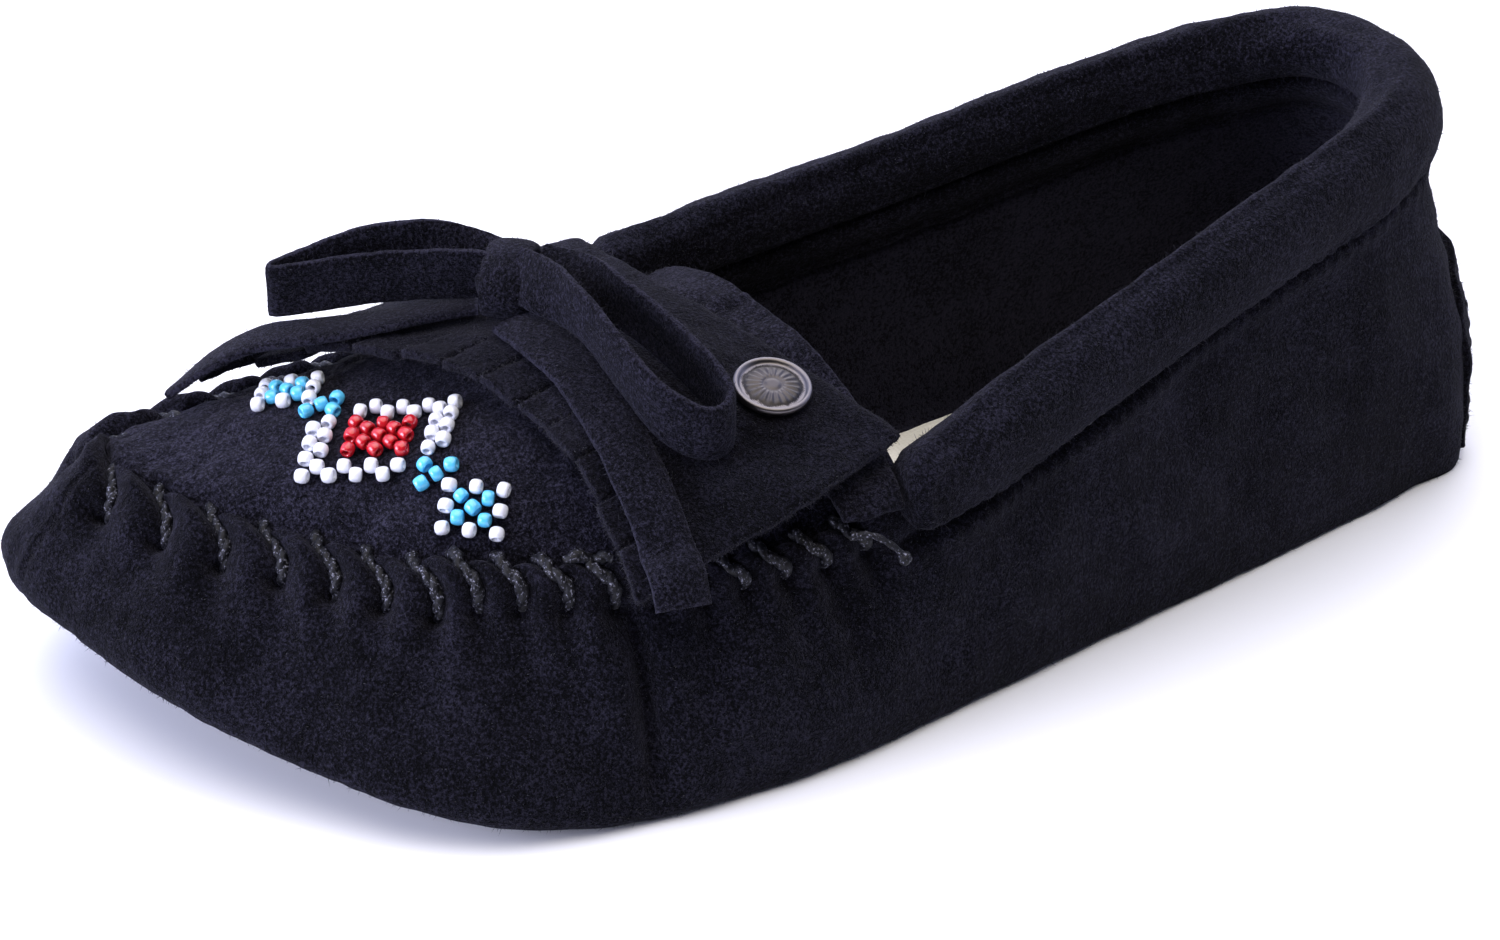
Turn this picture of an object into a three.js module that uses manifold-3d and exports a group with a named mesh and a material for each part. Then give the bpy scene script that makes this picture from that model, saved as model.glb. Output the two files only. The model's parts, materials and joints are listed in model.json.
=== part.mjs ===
// Soft-soled suede moccasin, left foot. Millimetres, +Z up, toe towards -Y, lateral side +X.
// Origin on the ground under the middle of the sole.
import * as THREE from 'three';
import { mergeVertices } from 'three/addons/utils/BufferGeometryUtils.js';
import Module from 'manifold-3d';

const wasm = await Module();
wasm.setup();

// ---- driving dimensions ----
const SUEDE = 2.0;            // wrap leather
const THIN = 1.6;             // flap, plug, cuff and heel tab leather
const GAP = 0.35;             // clearance between neighbouring pieces
const THREAD = 1.3;           // waxed hand-sewing thread
const STITCH_PITCH = 8.6;     // whip stitches round the plug
const BEAD = 2.35;            // seed bead diameter
const BEAD_LEN = 1.9;
const LACE_W = 8;             // flat suede thong
const LACE_T = 1.5;
const CUFF_DROP = 8.6;        // cuff's stitched edge below the middle of the roll
const BUTTON_R = 6;
const TOE_SPRING = 14;

// ---- stations, toe tip (0) to middle of the heel (16); sole edge [x, y], top edge [x, y, z] ----
const SOLE_LAT = [[-28, -102], [-10, -98], [8, -91], [21.5, -83], [33, -74], [41.5, -60.5], [45.5, -43],
  [47, -24], [46, -4], [43.5, 14], [40.5, 33], [37.5, 53], [34.5, 73], [31.5, 91], [28.5, 106],
  [24.5, 118], [1, 120.4]];
const SOLE_MED = [[-28, -102], [-39, -99.5], [-44, -91], [-44.5, -79], [-44.3, -66], [-44, -52],
  [-43, -37], [-40, -21], [-35, -5], [-29.5, 12], [-25.5, 31], [-24.5, 51], [-25, 71], [-25.5, 90],
  [-25, 106], [-22, 118], [1, 120.4]];
const TOP_LAT = [[-29.5, -93, 35], [-20, -90, 34.6], [-8, -83.3, 34.3], [5, -73.3, 33.8],
  [17, -63, 33.3], [26, -51, 33], [31.5, -38.5, 32.7], [35.5, -22, 32.6], [37.6, -5, 33.4],
  [38, 10, 37.2], [35, 27, 40.8], [31, 47, 45.4], [27.5, 66, 50], [24, 84, 54], [19.5, 99.5, 56.8],
  [12, 110.5, 58.8], [0, 114.3, 59.4]];
const TOP_MED = [[-29.5, -93, 35], [-37, -91, 34.4], [-40.3, -83, 34.2], [-40.8, -71, 34.4],
  [-40.8, -58, 34.8],
  [-40.4, -46, 34.8], [-39.8, -34, 35], [-39.2, -22, 35], [-38.8, -10, 35.4], [-37.8, 6, 37.2],
  [-35, 27, 40.8], [-31, 47, 45.4], [-27.5, 66, 50], [-24, 84, 54], [-19.5, 99.5, 56.8], [-12, 110.5, 58.8],
  [0, 114.3, 59.4]];
// wall shape at the same stations: [low bulge, high bulge, drop of the upper handle]
const BULGE_LAT = [[12, 17.5, 8], [11.5, 17, 9], [11, 15.5, 10], [10, 13, 11], [9.5, 12, 12],
  [9, 11, 13], [9, 10, 14], [8, 8, 14], [7, 6, 15], [6, 4, 16], [5, 4, 18], [4.5, 4, 20], [4, 4, 22],
  [3, 5, 24], [2, 9, 25], [1.5, 13.5, 22], [1.5, 14, 22]];
const BULGE_MED = [[12, 17.5, 8], [12, 15, 8], [9.5, 10.5, 10], [9, 9, 12], [8, 8, 12], [8, 7, 13],
  [8, 6, 13], [7, 5, 13], [6, 3, 14], [5, 2, 15], [4, 1, 18], [4, 1, 20], [4, 2, 22], [3, 3.5, 24],
  [2, 8.5, 25], [1.5, 13.5, 22], [1.5, 14, 22]];
const HEEL = 16;

// ---- small maths ----
const add = (a, b, s = 1) => a.map((v, i) => v + b[i] * s);
const sub = (a, b) => a.map((v, i) => v - b[i]);
const mix = (a, b, t) => a.map((v, i) => v + (b[i] - v) * t);
const dot = (a, b) => a.reduce((s, v, i) => s + v * b[i], 0);
const len = (a) => Math.sqrt(dot(a, a));
const unit = (a) => { const l = len(a) || 1; return a.map((v) => v / l); };
const cross = (a, b) => [a[1] * b[2] - a[2] * b[1], a[2] * b[0] - a[0] * b[2], a[0] * b[1] - a[1] * b[0]];

function spline(pts, t) {            // open uniform Catmull-Rom through the points, t in 0..n-1
  const n = pts.length - 1;
  const i = Math.min(n - 1, Math.max(0, Math.floor(t)));
  const f = t - i;
  const p1 = pts[i], p2 = pts[i + 1];
  const p0 = pts[i - 1] ?? sub(add(p1, p1), p2);
  const p3 = pts[i + 2] ?? sub(add(p2, p2), p1);
  return p1.map((v, k) => {
    const m1 = (p2[k] - p0[k]) / 2, m2 = (p3[k] - v) / 2, d = p2[k] - v;
    return v + f * (m1 + f * (3 * d - 2 * m1 - m2 + f * (m1 + m2 - 2 * d)));
  });
}
// closed loop through both sides: u = 0 toe, lateral side up to 16, medial side back to 32
const loop = (lat, med) => [...lat, ...med.slice(1, HEEL).reverse()];
function ring(pts, u) {
  const n = pts.length;
  const i = Math.floor(u), f = u - i;
  const g = (k) => pts[((i + k) % n + n) % n];
  return spline([g(-1), g(0), g(1), g(2)], 1 + f);
}
const SOLE = loop(SOLE_LAT, SOLE_MED), TOP = loop(TOP_LAT, TOP_MED), BULGE = loop(BULGE_LAT, BULGE_MED);
const spring = (y) => (y < -42 ? TOE_SPRING * ((-42 - y) / 60) ** 1.5 : 0);
function outward(pts, u) {           // horizontal normal of a loop
  const a = ring(pts, u - 0.05), b = ring(pts, u + 0.05);
  return unit([b[1] - a[1], -(b[0] - a[0]), 0]);
}
const soleEdge = (u) => { const [x, y] = ring(SOLE, u); return [x, y, spring(y)]; };
const topEdge = (u) => ring(TOP, u);
function wall(u, t) {                // outside of the wrap, t = 0 sole edge, 1 top edge
  const s = soleEdge(u), e = topEdge(u), [b0, b1, d] = ring(BULGE, u);
  const h0 = add(s, outward(SOLE, u), b0);
  const h1 = add(add(e, outward(TOP, u), b1), [0, 0, -1], d);
  const a = (1 - t) ** 3, b = 3 * t * (1 - t) ** 2, c = 3 * t * t * (1 - t), g = t ** 3;
  return s.map((v, k) => a * v + b * h0[k] + c * h1[k] + g * e[k]);
}
function wallAtHeight(u, z) {
  let lo = 0, hi = 1;
  for (let n = 0; n < 24; n++) { const m = (lo + hi) / 2; if (wall(u, m)[2] < z) lo = m; else hi = m; }
  return wall(u, (lo + hi) / 2);
}

// ---- mesh helpers ----
class Surface {
  constructor() { this.v = []; this.t = []; this.key = new Map(); }
  put(p) {
    const k = p.map((c) => Math.round(c * 1e4)).join();
    if (!this.key.has(k)) { this.key.set(k, this.v.length); this.v.push(p); }
    return this.key.get(k);
  }
  tri(a, b, c) { if (a !== b && b !== c && c !== a) this.t.push([a, b, c]); }
  quad(a, b, c, d) { this.tri(a, b, c); this.tri(a, c, d); }
  grid(P, keep = () => true) {       // normal = (next row) x (next column)
    for (let i = 0; i + 1 < P.length; i++) {
      for (let j = 0; j + 1 < P[i].length; j++) {
        if (!keep(i, j)) continue;
        this.quad(...[P[i][j], P[i + 1][j], P[i + 1][j + 1], P[i][j + 1]].map((p) => this.put(p)));
      }
    }
    return this;
  }
  flip() { this.t = this.t.map(([a, b, c]) => [a, c, b]); return this; }
}
function geometry(v, t) {
  const g = new THREE.BufferGeometry();
  g.setAttribute('position', new THREE.Float32BufferAttribute(v.flat(), 3));
  g.setIndex(t.flat());
  g.computeVertexNormals();
  return g;
}
// give an open surface a thickness behind its normals (or along a fixed direction)
function thicken(s, th, dir = null) {
  const nv = s.v.length, nrm = s.v.map(() => [0, 0, 0]);
  for (const [a, b, c] of s.t) {
    const m = cross(sub(s.v[b], s.v[a]), sub(s.v[c], s.v[a]));
    for (const k of [a, b, c]) nrm[k] = add(nrm[k], m);
  }
  const back = s.v.map((p, k) => add(p, dir ?? unit(nrm[k]), dir ? th : -th));
  const tri = [...s.t, ...s.t.map(([a, b, c]) => [a + nv, c + nv, b + nv])];
  const seen = new Set(s.t.flatMap(([a, b, c]) => [`${a},${b}`, `${b},${c}`, `${c},${a}`]));
  for (const e of seen) {
    const [a, b] = e.split(',').map(Number);
    if (seen.has(`${b},${a}`)) continue;
    tri.push([b, a, a + nv], [b, a + nv, b + nv]);
  }
  return geometry([...s.v, ...back], tri);
}
// closed section swept along points; frame(k) gives the two axes of the section at point k
function sweep(path, section, frame, closed = false) {
  const s = new Surface();
  const rows = path.map((p, k) => {
    const [ax, ay] = frame(k);
    const q = typeof section === 'function' ? section(k) : section;
    return q.map(([x, y]) => add(add(p, ax, x), ay, y));
  });
  const m = rows[0].length, v = rows.flat(), t = [], n = rows.length;
  for (let i = 0; i < (closed ? n : n - 1); i++) {
    for (let j = 0; j < m; j++) {
      const a = i * m + j, b = i * m + (j + 1) % m;
      const c = ((i + 1) % n) * m + (j + 1) % m, d = ((i + 1) % n) * m + j;
      t.push([a, b, c], [a, c, d]);
    }
  }
  if (!closed) {
    const cap = (o, rev) => {
      const idx = THREE.ShapeUtils.triangulateShape((typeof section === 'function' ? section(o / m) : section)
        .map(([x, y]) => new THREE.Vector2(x, y)), []);
      for (const [a, b, c] of idx) t.push(rev ? [o + a, o + c, o + b] : [o + a, o + b, o + c]);
    };
    cap(0, true);
    cap((n - 1) * m, false);
  }
  const g = geometry(v, t);
  if (volume(g) < 0) { g.setIndex(t.map(([a, b, c]) => [a, c, b]).flat()); g.computeVertexNormals(); }
  return g;
}
function volume(g) {
  const p = g.attributes.position, ix = g.index;
  const at = (k) => [p.getX(k), p.getY(k), p.getZ(k)];
  let s = 0;
  for (let i = 0; i < ix.count; i += 3)
    s += dot(at(ix.getX(i)), cross(at(ix.getX(i + 1)), at(ix.getX(i + 2))));
  return s / 6;
}
const circle = (r, n, sy = 1) => [...Array(n)].map((_, k) => {
  const a = (k + 0.5) * 2 * Math.PI / n;
  return [r * Math.cos(a), r * sy * Math.sin(a)];
});
function frames(path, hint = [0, 0, 1]) {     // carried along the path without twisting
  let n = hint;
  return path.map((p, k) => {
    const d = unit(sub(path[Math.min(k + 1, path.length - 1)], path[Math.max(k - 1, 0)]));
    n = unit(sub(n, d.map((c) => c * dot(n, d))));
    return [n, cross(d, n)];
  });
}
function tube(path, r, sides = 5) {
  const f = frames(path, Math.abs(unit(sub(path[1], path[0]))[2]) > 0.9 ? [1, 0, 0] : [0, 0, 1]);
  return sweep(path, circle(r, sides), (k) => f[k]);
}
function solid(g) {                  // to the boolean kernel
  const c = g.clone();
  c.deleteAttribute('normal');
  if (c.attributes.uv) c.deleteAttribute('uv');
  const m = mergeVertices(c, 1e-5);
  return new wasm.Manifold(new wasm.Mesh({ numProp: 3,
    vertProperties: new Float32Array(m.attributes.position.array),
    triVerts: new Uint32Array(m.index.array) }));
}
function fromSolid(m) {
  const q = m.getMesh(), g = new THREE.BufferGeometry();
  g.setAttribute('position', new THREE.Float32BufferAttribute([...q.vertProperties], 3));
  g.setIndex([...q.triVerts]);
  g.computeVertexNormals();
  return g;
}
const joined = (list) => fromSolid(wasm.Manifold.union(list.map(solid)));

// ---- materials and the group ----
const mat = (color, roughness, metalness = 0) =>
  new THREE.MeshStandardMaterial({ color, roughness, metalness });
const M = {
  suede: mat(0x15151d, 0.95), thread: mat(0x1b1b24, 0.6), foam: mat(0xcfc9bd, 0.9), sock: mat(0xe6dfcf, 0.9),
  red: mat(0xc01522, 0.3), white: mat(0xf0f0f4, 0.35), blue: mat(0x3fb6dc, 0.3),
  metal: mat(0xb9b6ae, 0.35, 1),
};
const moccasin = new THREE.Group();
moccasin.name = 'moccasin';
function piece(name, geo, material) {
  const m = new THREE.Mesh(geo, material);
  m.name = name;
  moccasin.add(m);
}
const steps = (a, b, n) => [...Array(n + 1)].map((_, k) => a + (b - a) * k / n);

// ---- wrap: sole and walls in one piece of suede ----
const WALL_T = [1, 0.86, 0.7, 0.52, 0.34, 0.18, 0.07, 0];
const FLOOR_V = [0.12, 0.3, 0.5, 0.7, 0.88];
function wrapRow(k) {
  const med = 2 * HEEL - k;
  const a = soleEdge(k), b = soleEdge(med);
  const floor = FLOOR_V.map((v) => mix(a, b, v));
  return [...WALL_T.map((t) => wall(k, t)), ...floor, ...WALL_T.slice().reverse().map((t) => wall(med, t))];
}
const RUNGS = [0, 0.5, 1, 1.5, 2, 2.5, 3, 3.6, 4.2, 5, 6, 7, 8, 9, 10, 11, 12, 13, 13.8, 14.4, 15, 15.5, 16];
const wrap = new Surface().grid(RUNGS.map(wrapRow)).flip();
piece('wrap', thicken(wrap, SUEDE), M.suede);

// ---- heel tab: the end of the sole folded up over the back seam ----
const TAB_U = [14.95, 15.25, 15.6, 16, 16.4, 16.75, 17.05];
const tabTop = (u) => 0.66 - 0.1 * ((u - HEEL) / 1.05) ** 4;
const heelRow = (k) => TAB_U.map((u) => {
  const t = 0.16 + (tabTop(u) - 0.16) * k / 5;
  const p = wall(u, t), d = unit(cross(sub(wall(u + 0.05, t), wall(u - 0.05, t)), sub(wall(u, t + 0.02), p)));
  return add(p, d, GAP + THIN);
});
piece('heel_tab', thicken(new Surface().grid([0, 1, 2, 3, 4, 5].map(heelRow)).flip(), THIN), M.suede);

// ---- plug: the beaded apron the toe wall is gathered on to ----
const inset = (u) => { const [, b, d] = ring(BULGE, u); return 0.45 + SUEDE * d / Math.hypot(b, d); };
const CROWN = [0, 1, 3, 6, 9, 11.5, 13, 13.2, 11.8];
const crown = (k) => spline(CROWN.map((c) => [c]), k)[0];
function plugPoint(k, v) {
  const med = 2 * HEEL - k;
  const a = add(topEdge(k), outward(TOP, k), -inset(k));
  const b = add(topEdge(med), outward(TOP, med), -inset(med));
  const p = mix(a, b, v);
  p[2] += crown(k) * (1 - Math.abs(2 * v - 1) ** 2.6) + 0.4;
  return p;
}
const PLUG_V = [0, 0.06, 0.15, 0.27, 0.4, 0.5, 0.6, 0.73, 0.85, 0.94, 1];
const PLUG_K = [0.6, 1, 1.5, 2, 2.6, 3.3, 4, 5, 6, 7, 8.1];
piece('plug', thicken(new Surface().grid(PLUG_K.map((k) => PLUG_V.map((v) => plugPoint(k, v)))), THIN),
  M.suede);
const plugNormal = (k, v) => unit(cross(sub(plugPoint(k, v - 0.02), plugPoint(k, v + 0.02)),
  sub(plugPoint(k + 0.05, v), plugPoint(k - 0.05, v))));

// ---- flap (fringed kiltie) folded forward over the instep ----
const FLAP_FAR = [[-35.5, -12, 45.5], [-38.5, -30, 43.6], [-40.3, -52, 41.8], [-40.3, -74, 39.5]];
const FLAP_NEAR = [[35.4, 4.6, 45.5], [39.8, -12, 42.6], [41.6, -27, 39.6], [42.6, -42, 36]];
const FLAP_MID = [[-1, -7, 51.2], [-1, -20, 52.6], [0, -33, 53.4], [1, -46, 53]];
const FRINGE = 0.8;                  // the slits start here (share of the flap's length)
function flapPoint(a, b) {           // a: far 0 .. near 1, b: fold 0 .. front 1
  const f = spline(FLAP_FAR, b * 3), n = spline(FLAP_NEAR, b * 3), c = spline(FLAP_MID, b * 3);
  return add(mix(f, n, a), sub(c, mix(f, n, 0.5)), 1 - Math.abs(2 * a - 1) ** 2);
}
const STRIPS = 12, SLIT = 0.008;
const FLAP_A = [0];
for (let k = 1; k < STRIPS; k++) FLAP_A.push(k / STRIPS - SLIT / 2, k / STRIPS + SLIT / 2);
FLAP_A.push(1);
const FLAP_B = [0, 0.08, 0.28, 0.54, FRINGE, 1];
const flapSurface = new Surface().grid(FLAP_B.map((b) => FLAP_A.map((a) => flapPoint(a, b))),
  (i, j) => i < FLAP_B.length - 2 || j % 2 === 0);
const flapNormal = (a, b) => unit(cross(sub(flapPoint(a + 0.02, b), flapPoint(a - 0.02, b)),
  sub(flapPoint(a, b - 0.02), flapPoint(a, b + 0.02))));
const onFlap = (a, b, lift) => add(flapPoint(a, b), flapNormal(a, b), lift);
function flapAt(x, y) {              // share of width and length above a plan position
  let a = 0.5, b = 0.5;
  for (let n = 0; n < 60; n++) {
    const p = flapPoint(a, b), pa = flapPoint(a + 0.01, b), pb = flapPoint(a, b + 0.01);
    const [ax, ay, bx, by] = [(pa[0] - p[0]) * 100, (pa[1] - p[1]) * 100, (pb[0] - p[0]) * 100,
      (pb[1] - p[1]) * 100];
    const det = ax * by - ay * bx, dx = x - p[0], dy = y - p[1];
    a += 0.7 * (dx * by - dy * bx) / det;
    b += 0.7 * (ax * dy - ay * dx) / det;
  }
  return [a, b];
}
const BUTTON = [21, -8];
const [BA, BB] = flapAt(...BUTTON);
const buttonAxis = flapNormal(BA, BB);
const buttonAt = flapPoint(BA, BB);
function disc(profile, centre, axis, seg) {
  const g = new THREE.LatheGeometry(profile.map(([r, z]) => new THREE.Vector2(r, z)), seg);
  g.rotateX(Math.PI / 2);
  g.applyQuaternion(new THREE.Quaternion().setFromUnitVectors(new THREE.Vector3(0, 0, 1),
    new THREE.Vector3(...axis)));
  g.translate(...centre);
  const m = mergeVertices((g.deleteAttribute('uv'), g.deleteAttribute('normal'), g), 1e-4);
  const ix = [...m.index.array], t = [];
  for (let i = 0; i < ix.length; i += 3)
    if (new Set(ix.slice(i, i + 3)).size === 3) t.push(ix.slice(i, i + 3));
  const p = [];
  for (let i = 0; i < m.attributes.position.count; i++) {
    p.push([m.attributes.position.getX(i), m.attributes.position.getY(i), m.attributes.position.getZ(i)]);
  }
  const out = geometry(p, t);
  if (volume(out) < 0) { out.setIndex(t.map(([a, b, c]) => [a, c, b]).flat()); out.computeVertexNormals(); }
  return out;
}
const POST_R = 1.2;
const postHole = disc([[0, 3], [POST_R + 0.4, 3], [POST_R + 0.4, -5], [0, -5]], buttonAt, buttonAxis, 10);
piece('flap', fromSolid(solid(thicken(flapSurface, THIN)).subtract(solid(postHole))), M.suede);

// ---- concho button: cap with a raised rim, post through the flap, washer behind it ----
piece('button_cap', disc([[0, GAP], [BUTTON_R, GAP], [BUTTON_R, 1.3], [BUTTON_R - 0.5, 1.75],
  [BUTTON_R - 1, 1.4], [0, 2.1]], buttonAt, buttonAxis, 24), M.metal);
piece('button_post', disc([[0, 0.05], [POST_R, 0.05], [POST_R, -2.3], [0, -2.3]],
  buttonAt, buttonAxis, 10), M.metal);
const washer = disc([[0, -THIN - GAP], [3.4, -THIN - GAP], [3.4, -2.6], [0, -2.6]], buttonAt, buttonAxis, 12);
const seat = disc([[0, 0], [POST_R + 0.15, 0], [POST_R + 0.15, -5], [0, -5]], buttonAt, buttonAxis, 10);
piece('button_washer', fromSolid(solid(washer).subtract(solid(seat))), M.metal);

// ---- insole: foam slab with a cream cover ----
const FOAM = 2.4, SOCK = 0.8;
const ARCH = 4.5;                    // the slab is cut away on the inner side of the instep
function slab(base, th, edge) {
  const rows = [0.7, 1.2, 2, 3, 4, 5, 6, 7, 8, 9, 10, 11, 12, 13, 13.8, 14.4, 14.9].map((k) => {
    const med = 2 * HEEL - k, e = edge + 3 * Math.max(0, k - 12.6) / 2.3;
    const arch = ARCH * Math.exp(-(((k - 9.6) / 2.2) ** 2));
    const a = add(soleEdge(k), outward(SOLE, k), -e), b = add(soleEdge(med), outward(SOLE, med), -e - arch);
    return [0, 0.2, 0.5, 0.8, 1].map((v) => add(mix(a, b, v), [0, 0, base]));
  });
  return thicken(new Surface().grid(rows).flip(), th, [0, 0, 1]);
}
piece('insole_foam', slab(SUEDE + GAP, FOAM, 2.2), M.foam);
piece('insole_cover', slab(SUEDE + FOAM + 2 * GAP, SOCK, 2.6), M.sock);

// ---- padded cuff round the opening ----
const CUFF_LAT = 8.65, CUFF_MED = 2 * HEEL - 8.3;
const cuffScale = (u) => Math.min(1, 0.8 + 0.2 * Math.min(u - CUFF_LAT, CUFF_MED - u));
const rollMiddle = (u) => add(topEdge(u), [0, 0, 3]);
function cuffPoint(u, n, z) { return add(add(rollMiddle(u), outward(TOP, u), n), [0, 0, 1], z); }
function cuffOutside(u) {
  const c = rollMiddle(u), s = cuffScale(u), low = c[2] - CUFF_DROP * s;
  const leg = dot(sub(wallAtHeight(u, low), c), outward(TOP, u)) + GAP + THIN;
  return [[leg, -CUFF_DROP * s], [Math.max(leg + 0.7, 5.4), -6.2 * s], [6.2, -2.8], [6, 0.6], [4.6, 3.5],
    [2, 5.2], [-0.8, 5.5], [-3.6, 4.2], [-5.2, 1.7], [-5.5, -1.3], [-4.6, -3.9]]
    .map(([n, z]) => cuffPoint(u, n * (z > -5 ? 0.25 + 0.75 * s : 1), z > -5 ? z * s : z));
}
const CUFF_U = [...steps(CUFF_LAT, 13.4, 8), ...steps(13.9, 18.1, 12), ...steps(18.6, CUFF_MED, 9)];
piece('cuff', thicken(new Surface().grid(CUFF_U.map(cuffOutside)), THIN), M.suede);
const padU = CUFF_U.slice(1, -1);
const padding = sweep(padU.map((u) => cuffPoint(u, 0.4, 0.5)),
  (k) => circle(3.35, 8, 0.84).map(([x, y]) => [x * cuffScale(padU[k]), y * cuffScale(padU[k])]),
  (k) => [outward(TOP, padU[k]), [0, 0, 1]]);
piece('cuff_padding', padding, M.foam);
const rowU = CUFF_U.slice(1, -1);
const cuffStitch = rowU.map((u) => {
  const [a, b] = cuffOutside(u);
  return add(mix(a, b, 0.55), outward(TOP, u), 0.35 + GAP + 0.25);
});
piece('cuff_thread', tube(cuffStitch, 0.35, 4), M.thread);

// ---- whip stitch: one waxed thread that gathers the toe wall to the plug ----
const seamPoint = (u, n, z) => add(add(topEdge(u), outward(TOP, u), n), [0, 0, 1], z);
const wallLift = (u, t, lift) => {
  const d = unit(cross(sub(wall(u + 0.05, t), wall(u - 0.05, t)), sub(wall(u, t), wall(u, t - 0.02))));
  return add(wall(u, t), d, lift);
};
const seamIn = (u) => -inset(u) + 0.2, TR = THREAD / 2;
const SEAM_U = [-7.4, 8.1];
const spine = steps(SEAM_U[0], SEAM_U[1], 36).map((u) => seamPoint(u, seamIn(u), 2.2));
const plugSide = (u) => {          // 1.6 mm in from the edge of the plug, resting on it
  const k = Math.max(0.7, Math.abs(u)), v = 1.5 / len(sub(plugPoint(k, 0), plugPoint(k, 1)));
  const e = u < 0 ? 1 - v : v;
  return add(plugPoint(k, e), plugNormal(k, e), TR + GAP + 0.1);
};
const stitches = [tube(spine, TR, 4)];
let run = 0, last = topEdge(SEAM_U[0]);
for (let u = SEAM_U[0]; u < SEAM_U[1] - 0.05; u += 0.01) {
  const p = topEdge(u);
  run += len(sub(p, last));
  last = p;
  if (run < STITCH_PITCH * (stitches.length - 0.5)) continue;
  const w = u + 0.03 * STITCH_PITCH;
  stitches.push(tube([plugSide(u - 0.1), seamPoint(u - 0.04, seamIn(u), 2.6),
    seamPoint(u + 0.03, -0.6, 2.2), wallLift(w, 0.955, TR + GAP + 0.3),
    wallLift(w + 0.06, 0.9, TR + GAP + 0.1)],
  TR, 4));
}
piece('seam_thread', joined(stitches), M.thread);
const knotEnd = [46, 0.4, 31.6];
const ball = new THREE.IcosahedronGeometry(1.3, 1);
ball.translate(...knotEnd);
piece('thread_end', joined([
  tube([[41.4, -6, 35.2], [43.4, -3.4, 35.3], [45.2, -1, 33.6], knotEnd], 0.6, 6), ball]),
  M.thread);

// ---- cut end of the cuff strip, tucked under the corner of the flap ----
const tabRows = [[[30.4, -3, 39.9], [31.6, 0.5, 40.4], [32.6, 3.8, 41.0]], [[36.3, -3.6, 39.1], [37, 0, 39.5],
  [37.4, 3.2, 40.0]], [[41.2, -3.8, 36.8], [41.8, -0.6, 37.0], [42.2, 2.6, 37.2]]];
piece('throat_tab', thicken(new Surface().grid(tabRows), 1.4), M.suede);

// ---- thread round the edge of the heel tab ----
const tabEdge = [];
const lowT = 0.2, topT = (u) => tabTop(u) - 0.04;
for (const t of steps(lowT, topT(15.1), 5)) tabEdge.push([15.1, t]);
for (const u of steps(15.3, 16.7, 7)) tabEdge.push([u, topT(u)]);
for (const t of steps(topT(16.9), lowT, 5)) tabEdge.push([16.9, t]);
piece('heel_thread', tube(tabEdge.map(([u, t]) => wallLift(u, t, 2 * GAP + THIN + 0.4)), 0.4, 4), M.thread);

// ---- bow: one flat suede thong, shown as knot, two loops and two tails ----
const STRAP = [[-0.5, -0.5], [0.5, -0.5], [0.5, 0.5], [-0.5, 0.5]];
const strap = STRAP.map(([x, y]) => [x * LACE_T, y * LACE_W]);
const bowY = -32.5, bowX = -14.5;
const [KA, KB] = flapAt(bowX, bowY);
const knotMiddle = onFlap(KA, KB, 4.2 + GAP);
const knot = new THREE.SphereGeometry(1, 12, 8);
knot.scale(6.2, 5.6, 4.2);
knot.translate(...knotMiddle);
piece('lace_knot', fromSolid(solid(knot)), M.suede);

function edgewise(points, n, tilt = 0) {      // thong standing on its edge along a plan curve
  const path = steps(0, points.length - 1, n).map((t) => spline(points, t));
  return sweep(path, strap, (k) => {
    const d = unit(sub(path[Math.min(k + 1, n)], path[Math.max(k - 1, 0)]));
    const side = unit([d[1], -d[0], 0]);
    return [side, unit(add(cross(d, side).map((c) => Math.sign(cross(d, side)[2] || 1) * c), side, tilt))];
  });
}
const overFlap = (x, y, lift) => { const [a, b] = flapAt(x, y); return flapPoint(a, b)[2] + lift; };
const stand = LACE_W / 2 + GAP + 0.5;
const nearLoop = [[-7.2, -26.6, 1.8], [-1, -23.6, 1.2], [7, -21.2, 0.7], [16, -19.4, 0.3], [23.5, -18.3, 0.2],
  [28, -18.9, 0.2], [30, -21.8, 0.4], [28.6, -25.6, 0.9], [24, -29.1, 2.2], [16, -30.5, 2.7],
  [6.6, -30.6, 2.8],
  [-1.5, -31.2, 2.4], [-7, -32.4, 2.4]].map(([x, y, up]) => [x, y, overFlap(Math.min(x, 31), y, stand + up)]);
piece('lace_loop_near', edgewise(nearLoop, 24), M.suede);
const farLoop = [[-21.3, -36.4, 58.6], [-25, -41.5, 59.6], [-28.4, -50, 59.4], [-30.4, -59, 57.8],
  [-30.9, -63.6, 57], [-29.4, -65.4, 56.9], [-27.8, -63.4, 57], [-26.6, -58, 57.3],
  [-24.3, -50.5, 57.8], [-20.6, -43.4, 58.2], [-17.6, -40, 58.2]];
piece('lace_loop_far', edgewise(farLoop, 20), M.suede);

function flat(points, n) {                    // thong lying on its face
  const path = steps(0, points.length - 1, n).map((t) => spline(points.map((p) => p.slice(0, 3)), t));
  const ups = steps(0, points.length - 1, n).map((t) => unit(spline(points.map((p) => p.slice(3)), t)));
  return sweep(path, strap, (k) => {
    const d = unit(sub(path[Math.min(k + 1, n)], path[Math.max(k - 1, 0)]));
    const up = unit(sub(ups[k], d.map((c) => c * dot(d, ups[k]))));
    return [up, cross(d, up)];
  });
}
const lying = (x, y, lift) => {
  const [a, b] = flapAt(x, y);
  return [...onFlap(a, b, lift), ...flapNormal(a, b)];
};
const restOn = LACE_T / 2 + GAP + 0.45;
const nearTail = [[-6.8, -36], [1, -34.9], [10, -33.8], [20, -33.8], [28, -34.2], [34.5, -34.8], [39, -35.4]]
  .map(([x, y]) => lying(x, y, restOn));
nearTail.push([44.2, -36.4, 39.6, 0.75, -0.1, 0.65], [47, -37, 35.8, 0.86, -0.1, 0.5]);
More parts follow.
